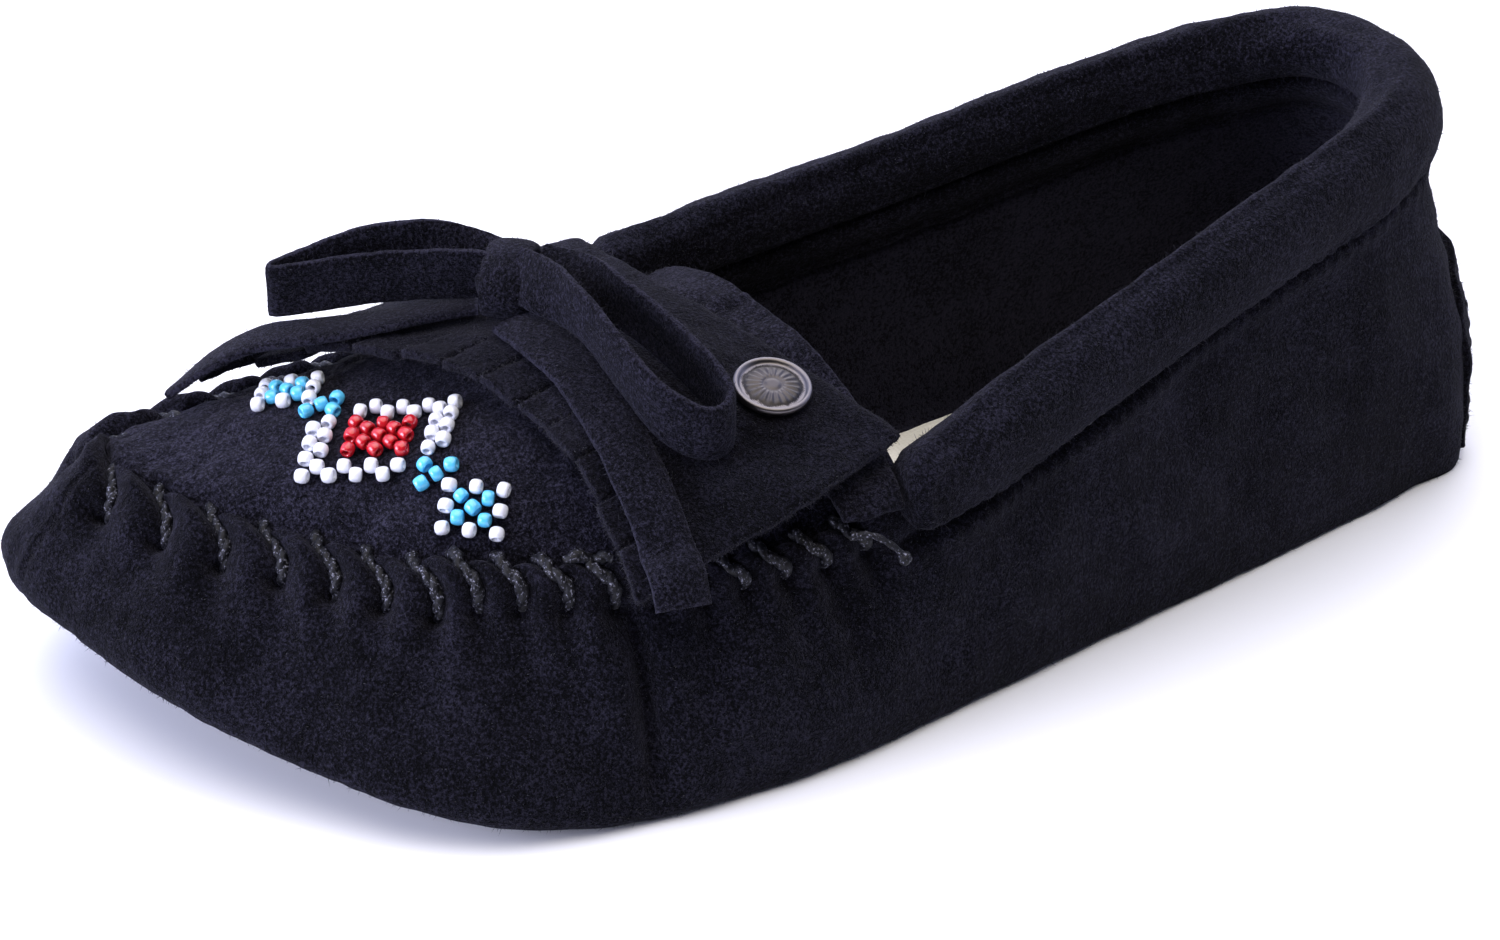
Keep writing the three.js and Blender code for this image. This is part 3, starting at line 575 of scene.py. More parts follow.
def add_node(tree, kind, inputs=None, **props):
    """A node with its properties set, and its inputs set or linked."""
    n = tree.nodes.new(kind)
    for k, v in props.items():
        setattr(n, k, v)
    for k, v in (inputs or {}).items():
        put(tree, n.inputs[k], v)
    return n


def put(tree, socket, value):
    if isinstance(value, bpy.types.NodeSocket):
        tree.links.new(value, socket)
    else:
        socket.default_value = value


class Shader:
    """A node material whose nodes are made in one call each."""

    def __init__(self, name):
        self.mat = bpy.data.materials.new(name)
        self.mat.use_nodes = True
        self.tree = self.mat.node_tree
        self.bsdf = self.tree.nodes["Principled BSDF"]

    def node(self, kind, inputs=None, **props):
        return add_node(self.tree, kind, inputs, **props)

    def set(self, **values):
        for k, v in values.items():
            put(self.tree, self.bsdf.inputs[k.replace("_", " ")], v)

    def coords(self):
        return self.node("ShaderNodeTexCoord").outputs["Object"]

    def noise(self, vector, size_mm, detail=3.0, rough=0.55, stretch=None):
        if stretch is not None:
            vector = self.node("ShaderNodeMapping", {"Vector": vector, "Scale": stretch}).outputs[0]
        return self.node("ShaderNodeTexNoise", {"Vector": vector, "Scale": 1 / (size_mm * MM),
                                                "Detail": detail, "Roughness": rough}).outputs["Fac"]

    def math(self, op, a, b, c=0.0):
        return self.node("ShaderNodeMath", {0: a, 1: b, 2: c}, operation=op).outputs[0]

    def ramp(self, fac, stops):
        n = self.node("ShaderNodeValToRGB", {"Fac": fac})
        el = n.color_ramp.elements
        while len(el) < len(stops):
            el.new(0.5)
        for e, (at, colour) in zip(el, stops):
            e.position, e.color = at, (*colour, 1.0)
        return n.outputs["Color"]

    def bump(self, height, strength, distance_mm, normal=None):
        inputs = {"Height": height, "Strength": strength, "Distance": distance_mm * MM}
        if normal is not None:
            inputs["Normal"] = normal
        return self.node("ShaderNodeBump", inputs).outputs[0]


def grey(c, k):
    return tuple(x * k for x in c)


def suede(name, colour, mottle=1.0):
    """Napped leather: patches where the nap lies differently, a grain of fibres, and a soft sheen."""
    m = Shader(name)
    at = m.coords()
    patch = m.noise(at, 17, 4, 0.6)
    brush = m.noise(at, 4.5, 3, 0.6)
    tuft = m.noise(at, 1.3, 2, 0.6)
    grain = m.noise(at, 0.55, 3, 0.85)
    tone = m.math("MULTIPLY_ADD", patch, 0.5 * mottle, m.math("MULTIPLY", brush, 0.35 * mottle))
    tone = m.math("MULTIPLY_ADD", tuft, 0.2, m.math("MULTIPLY_ADD", grain, 2.1, tone))
    middle = 0.5 * (0.85 * mottle + 2.3)
    tone = m.node("ShaderNodeMapRange", {"Value": tone, "From Min": middle - 0.25,
                                         "From Max": middle + 0.25}).outputs[0]
    # pale lifts the tone at cut edges and, as painted light, on the wrap's inside; below 0 it paints shade
    # into seam grooves and stitch creases
    pale = m.node("ShaderNodeAttribute", attribute_name="pale").outputs["Fac"]
    tone = m.math("MULTIPLY_ADD", pale, 0.36, tone)
    m.set(Base_Color=m.ramp(tone, [(0.0, grey(colour, 0.2)), (0.5, colour), (0.8, grey(colour, 2.6)),
                                   (1.0, grey(colour, 4.5))]),
          Roughness=0.95, Specular_IOR_Level=0.06, Sheen_Roughness=0.3, Sheen_Tint=(0.80, 0.79, 1.0, 1.0),
          Sheen_Weight=0.062)
    height = m.math("MULTIPLY_ADD", grain, 0.9, m.math("MULTIPLY", tuft, 0.3))
    m.set(Normal=m.bump(height, 1.0, 0.8, m.bump(brush, 0.15, 0.7)))
    return m.mat


def plain(name, colour, rough, grain_mm=0.5, bump=0.2, spread=0.15, **sockets):
    m = Shader(name)
    n = m.noise(m.coords(), grain_mm, 3)
    m.set(Base_Color=m.ramp(n, [(0.25, grey(colour, 1 - spread)), (0.75, grey(colour, 1 + spread))]),
          Roughness=rough, Normal=m.bump(n, bump, grain_mm * 0.4), **sockets)
    return m.mat


INK = (0.0042, 0.0040, 0.0066)      # the suede's blue-black, that each piece is a multiple of
# painted light and shade: all pieces are the one suede, and each copy's multiple makes it lighter or darker
# to the brightness it takes under this light; the plug's large multiple lifts its flat top
MAT = {
    "suede": suede("suede_wrap", grey(INK, 1.15)),
    "suede_plug": suede("suede_plug", grey(INK, 2.1), mottle=0.7),
    "suede_flap": suede("suede_flap", grey(INK, 0.9), mottle=0.8),
    "suede_cuff": suede("suede_cuff", grey(INK, 1.2), mottle=0.8),
    "suede_lace": suede("suede_lace", grey(INK, 1.4), mottle=0.7),
    "fibre": plain("suede_fibre", grey(INK, 3.0), 0.95, 1.5, 0.2, 0.6, Sheen_Weight=0.1,
                   Specular_IOR_Level=0.1),
    "foam": plain("foam", (0.55, 0.52, 0.45), 0.9, 0.8, 0.4),
}
for bead, colour, rough, spread, coat, coat_rough in (
        ("red", (0.50, 0.008, 0.016), 0.14, 0.2, 0.6, 0.06),
        ("white", (0.80, 0.81, 0.88), 0.2, 0.06, 0.5, 0.08),
        ("blue", (0.10, 0.52, 0.80), 0.16, 0.15, 0.6, 0.06)):
    MAT[bead] = plain("bead_" + bead, colour, rough, 3.0, 0.02, spread,
                      Coat_Weight=coat, Coat_Roughness=coat_rough)


def sock_cloth():
    m = Shader("insole_cloth")
    at = m.coords()
    wave = {"Vector": at, "Scale": 420.0, "Distortion": 1.5}
    weave = m.math("MULTIPLY", *(m.node("ShaderNodeTexWave", wave, bands_direction=way).outputs["Fac"]
                                 for way in "XY"))
    soil = m.noise(at, 12, 4)
    m.set(Base_Color=m.ramp(soil, [(0.3, (0.62, 0.58, 0.48)), (0.7, (0.80, 0.77, 0.68))]), Roughness=0.92,
          Sheen_Weight=0.2, Normal=m.bump(weave, 0.5, 0.25))
    return m.mat


def button_metal(centre):
    """Antique nickel: bright where it is rubbed, dark in the ring behind the rim."""
    m = Shader("button_metal")
    at = m.coords()
    off = m.node("ShaderNodeVectorMath", {0: at, 1: tuple(c * MM for c in centre)}, operation="DISTANCE")
    r = m.math("MULTIPLY", off.outputs["Value"], 1000.0 / BUTTON_R)
    scratch = m.noise(at, 0.7, 3, 0.6, stretch=(1, 7, 1))
    cloud = m.noise(at, 2.2, 4)
    tone = m.math("MULTIPLY_ADD", cloud, 0.25, m.math("MULTIPLY_ADD", scratch, 0.2, r))
    m.set(Base_Color=m.ramp(tone, [(0.0, (0.075, 0.067, 0.067)), (0.62, (0.07, 0.063, 0.063)),
                                   (0.8, (0.055, 0.05, 0.05)), (0.96, (0.02, 0.018, 0.018)),
                                   (1.0, (0.16, 0.145, 0.145))]),
          Metallic=1.0, Roughness=0.34, Normal=m.bump(scratch, 0.25, 0.08))
    return m.mat


def waxed_thread():
    """Dark twine with pale specks painted into its colour as glints."""
    m = Shader("waxed_thread")
    speck = m.noise(m.coords(), 0.45, 2, 0.7)
    m.set(Base_Color=m.ramp(speck, [(0.35, (0.0012, 0.0012, 0.002)), (0.54, (0.0035, 0.0035, 0.006)),
                                    (0.6, (0.03, 0.03, 0.042)), (0.68, (0.2, 0.2, 0.25))]),
          Roughness=0.55, Specular_IOR_Level=0.25, Normal=m.bump(speck, 0.4, 0.2))
    return m.mat


MAT["sock"] = sock_cloth()
MAT["thread"] = waxed_thread()


# ---- lace tails: the two free ends, made first
def lying_tail(plan, ends):
    """A thong that lies on the flap along its plan and hangs on through the ends: path and two axes."""
    rows = [np.concatenate(on_flap(x, y, LACE_T / 2 + GAP + 0.45)) for x, y in plan]
    rows = np.array(rows + ends, float)
    path, t = resample(rows[:, :3], LACE_STEP)
    n = unit(spline(rows[:, 3:], t))
    d = unit(np.gradient(path, axis=0))
    face = square_to(n, d)
    return path, np.cross(d, face), face


def thong(name, path, across, face, seed, cup=0.25):
    """A stretch of the suede thong in place of the CAD node of that name."""
    v, f = strap(path, across, face, seed, cup)
    FLAP_FUZZ.append((v, quads(f), 1.0))
    return make(name + "_thong", v, f, MAT["suede_lace"], "flap", [name], strap_edges(v))


def tail(name, plan, ends, seed):
    path, across, face = lying_tail(plan, ends)
    o = thong(name, path, across, face, seed)


# each: plan positions on the flap, then points past its edge with the way the thong's face looks there
tail("lace_tail_near",
     [(-6.8, -36), (1, -34.9), (10, -33.8), (20, -33.8), (28, -34.2), (34.5, -34.8), (39, -35.4)],
     [[44.2, -36.4, 39.6, 0.75, -0.1, 0.65], [47, -37, 35.8, 0.86, -0.1, 0.5]], 11)
tail("lace_tail_far", [(-16.4, -37.2), (-17.6, -39.8), (-19.4, -45), (-21.4, -51)],
     [[-25.6, -60, 50.4, -0.2, -0.1, 1], [-30.4, -67.6, 48.6, -0.4, -0.4, 0.9],
      [-34, -74, 44.6, -0.6, -0.6, 0.6], [-36.8, -78.6, 39.6, -0.8, -0.6, 0.4]], 12)


# ---- wrap: sole and walls, gathered at the toe
def build_wrap():
    across, down, floor = 720, 66, 40
    u = -16 + 32 * np.arange(across) / across
    q = np.linspace(0, 1, down) ** 1.12
    uu, qq = np.meshgrid(u, q)
    h = qq * wall_length(uu)
    outer, n = wrap_point(uu, h)
    out, rise = pucker(uu, h)
    t = wall_t(uu, h)
    inner = wall(uu, t) + n * (0.6 * out - SUEDE)[..., None] + up(rise)
    lip = [(1 - f) * outer[:1] + f * inner[:1] + up(0.42 * math.sin(math.pi * f) * np.ones(across))[None]
           for f in (0.75, 0.5, 0.25)]
    half = across // 2
    # rows from the inside bottom over the rim to the outside bottom, then the two sides of the sole
    shell = np.concatenate([inner[::-1], *lip, outer])
    shell[..., 2] = np.maximum(shell[..., 2], 0.02)
    v = [shell.reshape(-1, 3)]
    faces = [grid_faces(len(shell), across, closed=True)]
    base = len(shell) * across
    for row, sign, start in ((outer[-1], 1, (len(shell) - 1) * across), (inner[-1], -1, 0)):
        share = np.linspace(0, 1, floor + 1)[1:-1]
        i = np.arange(1, half)
        a, b = row[half + i], row[(half - i) % across]
        pts = a[:, None] + (b - a)[:, None] * share[None, :, None]
        belly = 0.12 * waves(pts, 26, 8) + 0.1 * waves(pts, 9, 9)
        pts = pts + up(np.maximum(belly, -0.25) * ramp(np.minimum(share, 1 - share), 0, 0.1)[None, :])
        pts[..., 2] = np.maximum(pts[..., 2], 0.03 if sign > 0 else SUEDE)
        index = np.concatenate([(start + half + i)[:, None],
                                base + np.arange(pts.shape[0] * pts.shape[1]).reshape(pts.shape[:2]),
                                (start + (half - i) % across)[:, None]], axis=1)
        sheet = np.stack([index[:-1, :-1], index[1:, :-1], index[1:, 1:], index[:-1, 1:]], -1).reshape(-1, 4)
        toe = [[start + half, a, b, b] for a, b in zip(index[0], index[0, 1:])]
        heel = [[start, b, a, a] for a, b in zip(index[-1], index[-1, 1:])]
        sheet = np.concatenate([sheet, np.array(toe), np.array(heel)])
        faces.append(sheet if sign > 0 else sheet[:, ::-1])
        v.append(pts.reshape(-1, 3))
        base += len(v[-1])
    v, f = np.concatenate(v), np.concatenate(faces)
    pale = np.zeros(len(v))
    # painted light: the whole inside of the wrap is made paler so that it reads as lit
    pale[:down * across] = 1.05
    # painted shade: the outside of the wrap darkens in the groove under the cuff and along each stitch's
    # crease
    seam = under_cuff(uu) * bell(h - 6.3, 1.15)
    for sk, _, _, _, short in STITCHES:
        past = 0.4 * np.clip(h - BITE * short, 0, None)
        seam = seam + 0.7 * bell(np.hypot(arc(uu) - (sk + lean_at(h, short)), past), 1.2)
    pale[(down + 3) * across:(2 * down + 3) * across] = -0.8 * np.clip(seam, 0, 1).ravel()
    make("wrap_gathered", v, f, MAT["suede"], "shoe", ["wrap"], pale)
    SHOE_FUZZ.append((outer.reshape(-1, 3), grid_faces(down, across, closed=True), 1.0))


build_wrap()


# ---- plug
TUCK = 1.7                          # how far the plug's edge runs on under the rim


def build_plug():
    k = np.linspace(0.5, 8.75, 200)[:, None]
    span = plug_point(k, 1) - plug_point(k, 0)
    wide = np.linalg.norm(span, axis=-1)
    v = np.linspace(0, 1, 128)[None, :] * (1 + 2 * TUCK / wide) - TUCK / wide
    inside = np.clip(v, 0, 1)
    p = plug_point(k, inside) + span * (v - inside)[..., None]
    n = surface_normal(plug_point, np.broadcast_to(k, p.shape[:2]), np.clip(v, 0.01, 0.99), 0.01)
    edge = np.minimum(v, 1 - v) * wide
    sunk = -0.3 * (1 - ramp(edge, 0, 3.6)) - 0.7 * (1 - ramp(edge, -TUCK, 0.4))
    s = arc(np.where(v < 0.5, k, -k))
    for sk, *_ in STITCHES:
        sunk = sunk - 0.5 * bell(s - sk, 1.8) * (1 - ramp(edge, 0.5, 5.5))
    uneven = 0.3 * waves(p, 24, 21) * ramp(edge, 0, 8) + 0.09 * waves(p, 6, 22) + 0.05 * waves(p, 2.4, 23)
    p = p + n * (sunk + uneven)[..., None]
    tip = top_edge(0.0) - up(1.1)
    p = np.concatenate([[p[0] + (tip - p[0]) * share for share in (0.97, 0.75, 0.5, 0.25)], p])
    v, f = facing_grid(p)
    SHOE_FUZZ.append((v, f, 0.7))
    make("plug_apron", *thicken(v, f, THIN), MAT["suede_plug"], "shoe", ["plug"])


build_plug()


# ---- flap with its fringe
FOLD_R, FLAP_SPAN = 2.2, 78         # bend at the back of the flap; its width


def build_flap():
    rng = np.random.default_rng(31)
    slit, per, whole = 0.010, 9, 60         # width of a slit, columns to a strip, rows before the slits
    k = np.arange(STRIPS)
    lo, hi = k / STRIPS + (k > 0) * slit / 2, (k + 1) / STRIPS - (k < STRIPS - 1) * slit / 2
    a = np.linspace(lo, hi, per, axis=1).ravel()
    b = np.concatenate([np.linspace(0, FRINGE, whole), np.linspace(FRINGE, 1, 22)[1:]])
    A, B = np.meshgrid(a, b)
    p = flap_point(A, B)
    n = surface_normal(flap_point, A, B)
    edge_far = np.minimum(A, 1 - A) * FLAP_SPAN
    lift = 0.36 * waves(p, 29, 32) * ramp(B, 0.0, 0.3) + 0.09 * waves(p, 10, 33) + 0.05 * waves(p, 3, 34)
    # its inner rear corner stands up, and it is flat under the button
    lift = lift + 2.0 * (1 - ramp(A, 0, 0.35)) * (1 - ramp(B, 0.1, 0.6))
    lift = lift * np.where(np.hypot(p[..., 0] - BUTTON_AT[0], p[..., 1] - BUTTON_AT[1]) < 9, 0.15, 1.0)
    tip = ramp(B, FRINGE, 1.0)
    strip = np.repeat(np.arange(STRIPS), per)[None, :]
    curl, twist, slide = (rng.uniform(-r, r, STRIPS) for r in (0.45, 0.4, 0.14))
    cut = rng.uniform(-0.4, 0.35, STRIPS)
    local = A * STRIPS - strip - 0.5
    lift = lift + tip * (curl[strip] + twist[strip] * local * 2)
    p = p + n * lift[..., None]
    along = unit(flap_point(A, np.minimum(B + 0.01, 1.01)) - flap_point(A, B - 0.01))
    across = unit(flap_point(A + 0.01, B) - flap_point(A - 0.01, B))
    p = p + across * (tip * slide[strip] - tip * local * 0.16)[..., None]
    p = p + along * (tip * cut[strip])[..., None]
    wob = 0.09 * waves(p, 6, 36) + 0.07 * waves(p, 1.9, 37)
    side = (1 - ramp(edge_far, 0, 3)) * np.sign(A - 0.5)
    rear = 1 - ramp(B, 0, 0.04)
    p = p + across * (side * wob)[..., None] - along * (rear * wob)[..., None]
    # the fold: the rear edge rolls down and forward on to the plug's end
    turn = (0.2 + 0.8 * np.clip(1 - np.abs(2 * a - 1) ** 3, 0, None))[:, None]
    rolls = [p[0] - along[0] * FOLD_R * np.sin(ang * turn) - n[0] * FOLD_R * (1 - np.cos(ang * turn))
             for ang in np.linspace(math.pi, 0, 11)[:-1]]
    uncut = len(rolls) + whole - 1
    p = np.concatenate([rolls, p])
    v, f = facing_grid(p, keep=lambda i, j: (i < uncut) | ((j + 1) % per != 0))
    solid = thicken(v, f, THIN - 0.05, 0.25)
    cut_edges = np.arange(len(solid[0])) >= 2 * len(v)
    o = make("flap_fringed", *solid, MAT["suede_flap"], "flap", ["flap"], cut_edges)
    FLAP_FUZZ.append((v, f, 0.9))
    FLAP_FUZZ.append((solid[0], solid[1][2 * len(f):], 9.0))
    return o


flap = build_flap()


# ---- padded cuff
ROLL_UP = 3.0                       # the roll's middle above the wrap's top edge
CLOTH_SCALE = 10                    # the cloth is simulated at this scale, where its solver is steady


def cuff_section(u):
    """Outer line of the cuff at u, from its stitched edge over the roll to its inner edge: (n, z)."""
    s = min(1, 0.8 + 0.2 * min(u - CUFF_LAT, CUFF_MED - u))        # slimmer at its two ends
    low = top_edge(u)[2] + ROLL_UP - CUFF_DROP * s
    lo, hi = 0.0, 1.0
    for _ in range(24):
        mid = (lo + hi) / 2
        lo, hi = (mid, hi) if wall(u, mid)[2] < low else (lo, mid)
    leg = (wall(u, (lo + hi) / 2) - top_edge(u)) @ outward(TOP, u) + GAP + 0.3
    pts = [[leg - 1.1, -8.8 * s], [leg + 0.7, -8.8 * s], [max(leg + 2.2, 5.5), -7.3 * s], [6.6, -3.5],
           [6.2, 0.6], [4.7, 3.5], [2, 5.3], [-0.8, 5.6], [-3.6, 4.3], [-5.3, 1.7], [-5.7, -1.3],
           [-4.9, -3.9], [-3.3, -5.2]]
    return np.array([[n * (0.25 + 0.75 * s if z > -5 else 1), z * s if z > -5 else z] for n, z in pts])


def cuff_grid(n_u=420, n_w=44):
    fine = np.linspace(CUFF_LAT, CUFF_MED, 1600)
    s = distances(top_edge(fine))
    run = np.linspace(0, s[-1], n_u)
    us = np.interp(run, s, fine)
    rows = []
    for u in us:
        sec = spline(cuff_section(u), np.linspace(0, 12, n_w))
        rows.append(top_edge(u) + up(ROLL_UP) + outward(TOP, u) * sec[:, :1] + up(sec[:, 1]))
    return us, run, np.array(rows)


def puff(p, pinned, cap, pressure=4.0, frames=20):
    """Lets a sheet swell as cloth over its filling, by up to cap mm. pinned marks what is sewn down."""
    shape = p.shape
    me = bpy.data.meshes.new("cuff_cloth")
    scale = MM * CLOTH_SCALE
    me.from_pydata((p.reshape(-1, 3) * scale).tolist(), [], grid_faces(*shape[:2])[:, ::-1].tolist())
    o = bpy.data.objects.new("cuff_cloth", me)
    bpy.context.scene.collection.objects.link(o)
    group = o.vertex_groups.new(name="sewn")
    group.add(np.nonzero(pinned.ravel())[0].tolist(), 1.0, "REPLACE")
    bpy.context.view_layer.objects.active = o
    mod = o.modifiers.new("Cloth", "CLOTH")
    cs = mod.settings
    cs.quality, cs.mass = 6, 0.3
    cs.use_pressure, cs.uniform_pressure_force = True, pressure
    cs.effector_weights.gravity = 0
    cs.vertex_group_mass = "sewn"
    cs.tension_stiffness = cs.compression_stiffness = 30
    cs.bending_stiffness = 4.0
    mod.collision_settings.use_collision = False
    scene = bpy.context.scene
    for k in range(1, frames + 1):
        scene.frame_set(k)
    got = o.evaluated_get(bpy.context.evaluated_depsgraph_get()).to_mesh()
    co = np.zeros(len(got.vertices) * 3)
    got.vertices.foreach_get("co", co)
    scene.frame_set(1)
    bpy.data.objects.remove(o)
    bpy.data.meshes.remove(me)
    move = co.reshape(shape) / scale - p
    size = np.linalg.norm(move, axis=-1, keepdims=True)
    return p + move * np.minimum(1, cap / (size + 1e-9))


def build_cuff():
    us, run, p = cuff_grid()
    n_u, n_w = p.shape[:2]
    pin = np.zeros((n_u, n_w), bool)
    pin[:, :3] = pin[:, -3:] = True
    pin[:3] = pin[-3:] = True
    p = puff(p, pin, 0.8)
    w = np.linspace(0, 1, n_w)[None, :]
    n = unit(np.cross(np.gradient(p, axis=0), np.gradient(p, axis=1)))
    centre = top_edge(us)[:, None] + up(ROLL_UP)
    n = n * np.sign(((p - centre) * n).sum())
    beat = (0.5 + 0.5 * np.cos(2 * math.pi * run / CUFF_PITCH))[:, None]
    dent = -0.7 * beat**2 * (1 - ramp(w, 0.04, 0.16)) - 0.3 * beat**3 * (1 - ramp(w, 0.12, 0.24))
    soft = 0.08 * waves(p, 30, 41) + 0.05 * waves(p, 9, 42) + 0.03 * waves(p, 2.6, 43)
    ends = ramp(np.minimum(run, run[-1] - run), 0, 2.2)[:, None]
    p = p + n * (dent + soft * ramp(np.minimum(w, 1 - w), 0, 0.12) - 0.9 * (1 - ends))[..., None]
    v, f = facing_grid(p, n)
    parts = [thicken(v, f, THIN - 0.1)]
    SHOE_FUZZ.append((v, f, 1.0))
    # inner band of the same strip, stitched down inside the shoe
    drop = np.linspace(0, 1, 12)
    band = []
    for u in us[2:-2]:
        z = top_edge(u)[2] - 1.2 - 8.4 * drop
        t = np.interp(z, wall(u, np.linspace(0.5, 1, 60))[:, 2], np.linspace(0.5, 1, 60))
        nn = wall_normal(np.full_like(t, u), t)
        full = SUEDE + 0.75 + 1.5 * np.sin(np.clip(drop * 1.25, 0, 1) * math.pi) ** 0.5
        band.append(wall(u, t) - nn * full[:, None])
    band = np.array(band)
    band = band + 0.12 * waves(band, 11, 44)[..., None] * unit(band - centre[2:-2])
    inward = -outward(TOP, us[2:-2])[:, None] + 0 * band
    parts.append(thicken(*facing_grid(band, inward), 0.9, 0.2))
    # the two cut ends, closed over the filling
    for k, sign in ((0, -1), (n_u - 1, 1)):
        edge = p[k]
        mid = edge.mean(0)
        along = unit(p[min(k + 1, n_u - 1)] - p[max(k - 1, 0)]).mean(0) * sign
        domed = ((0.97, -0.1), (0.85, 0.55), (0.6, 0.9), (0.3, 1.0), (0.02, 1.05))
        cap = np.array([mid + (edge - mid) * r + along * b for r, b in domed])
        parts.append(thicken(*facing_grid(cap, along), 0.8, 0.1))
    # painted shade: the cuff darkens along its stitched edge in the groove, at each stitch's dent, and along
    # its inner edge
    dark = -0.8 * (1 - ramp(w, 0.03, 0.08)) - 0.5 * beat**3 * (1 - ramp(w, 0.08, 0.2))
    v, f = merge(parts)
    pale = np.zeros(len(v))
    pale[:n_u * n_w] = (dark - 0.6 * bell(w - 0.97, 0.02)).ravel()
    o = make("cuff_padded", v, f, MAT["suede_cuff"], "shoe", ["cuff", "cuff_padding"], pale)
    # small stitches in the groove under the roll: how far along, up and out each point lies
    step, parts, stand = CUFF_PITCH, [], 1.7
    shape = ((0.3, -0.2, -0.6), (0.8, -0.1, 0.05), (1.4, -0.05, 0.2), (2.0, -0.1, 0.05), (2.5, -0.2, -0.6))
    groove = p[:, 0] + n[:, 0] * 0.1
    for s in np.arange(step, run[-1] - step, step):
        side = outward(TOP, np.interp(s, run, us))
        pts = [at_distance(s + d, run, groove) + up(z) + side * (stand + lift) for d, z, lift in shape]
        parts.append(stitch(pts, radius=0.42, sides=7, step=0.45))
    make("cuff_stitches", *merge(parts), MAT["thread"], "shoe", ["cuff_thread"])


build_cuff()


# ---- insole
def slab_grid(base, edge, bulge):
    """Upper side of a pad on the sole: its height, its distance from the sole's edge, its swell."""
    k = np.concatenate([np.linspace(0.7, 12.6, 150), np.linspace(12.6, 14.9, 40)[1:]])
    e = (edge + 3 * np.clip(k - 12.6, 0, None) / 2.3)[:, None]
    arch = 4.5 * bell(k - 9.6, 2.2)[:, None]
    a = sole_edge(k) - outward(SOLE, k) * e
    b = sole_edge(32 - k) - outward(SOLE, 32 - k) * (e + arch)
    v = np.linspace(0, 1, 60)
    p = a[:, None] + (b - a)[:, None] * v[None, :, None]
    end = np.minimum(np.arange(len(k)), np.arange(len(k))[::-1])[:, None] / 8
    dome = ramp(np.minimum(np.minimum(v, 1 - v)[None, :] * 12, end), 0, 1)
    return p + up(base + bulge * dome)


def build_insole():
    foam_top = SUEDE + GAP + 2.4
    for name, node, base, edge, depth, mat, bulge in (
            ("insole_pad", "insole_foam", foam_top, 2.3, 2.3, "foam", 0.15),
            ("insole_cloth", "insole_cover", foam_top + GAP + 0.8, 2.6, 0.8, "sock", 0.35)):
        p = slab_grid(base, edge, bulge)
        p = p + up(0.12 * waves(p, 18, 51) + 0.05 * waves(p, 5, 52))
        o = make(name, *thicken(*facing_grid(p), depth), MAT[mat], "shoe", [node])


build_insole()


# ---- heel tab
def tab_top(u):
    """The tab's upper edge, as a share of the wall."""
    return 0.66 - 0.1 * ((u - HEEL) / 1.05) ** 4


def build_heel_tab():
    first, last = HEEL - 1.05, HEEL + 1.05
    u = np.linspace(first, last, 60)[None, :]
    r = np.linspace(0, 1, 46)[:, None]
    foot = 0.16                     # the tab's lower edge, as a share of the wall
    t = foot + (tab_top(u) - foot) * r
    p, n = wall(u, t), wall_normal(u + 0 * t, t)
    edge = np.minimum(np.minimum(u - first, last - u) * 9, (1 - r) * 25)
    rise = GAP + THIN - 0.2 - 0.5 * (1 - ramp(edge, 0, 2.2))
    rise = rise + 0.25 * waves(p, 12, 61) + 0.06 * waves(p, 3, 62)
    v, f = facing_grid(p + n * rise[..., None], n)
    make("heel_tab_patch", *thicken(v, f, THIN - 0.1), MAT["suede_flap"], "shoe", ["heel_tab"])
    SHOE_FUZZ.append((v, f, 1.2))
    row_top = 0.04                  # the stitches' row below the tab's top edge
    line = [(15.1, t) for t in np.linspace(0.2, tab_top(15.1) - row_top, 40)]
    line += [(x, tab_top(x) - row_top) for x in np.linspace(15.12, 16.88, 60)]
    line += [(16.9, t) for t in np.linspace(tab_top(16.9) - row_top, 0.2, 40)]
    uu, tt = np.array(line).T
    q, m = wall(uu, tt), wall_normal(uu, tt)
    q = q + m * (GAP + THIN - 0.45 + 0.25 * waves(q, 12, 61))[:, None]
    s = distances(q)
    shape = ((0, -0.4), (0.5, -0.02), (1.2, 0.08), (1.9, -0.02), (2.4, -0.4))
    pitch = 3.4
    parts = [stitch([at_distance(at + d, s, q + lift * m) for d, lift in shape],
                    radius=0.32, sides=6, step=0.4, hint=(0.3, 0.2, 1))
             for at in np.arange(0.6, s[-1] - 3, pitch)]
    make("heel_stitches", *merge(parts), MAT["thread"], "shoe", ["heel_thread"])


build_heel_tab()


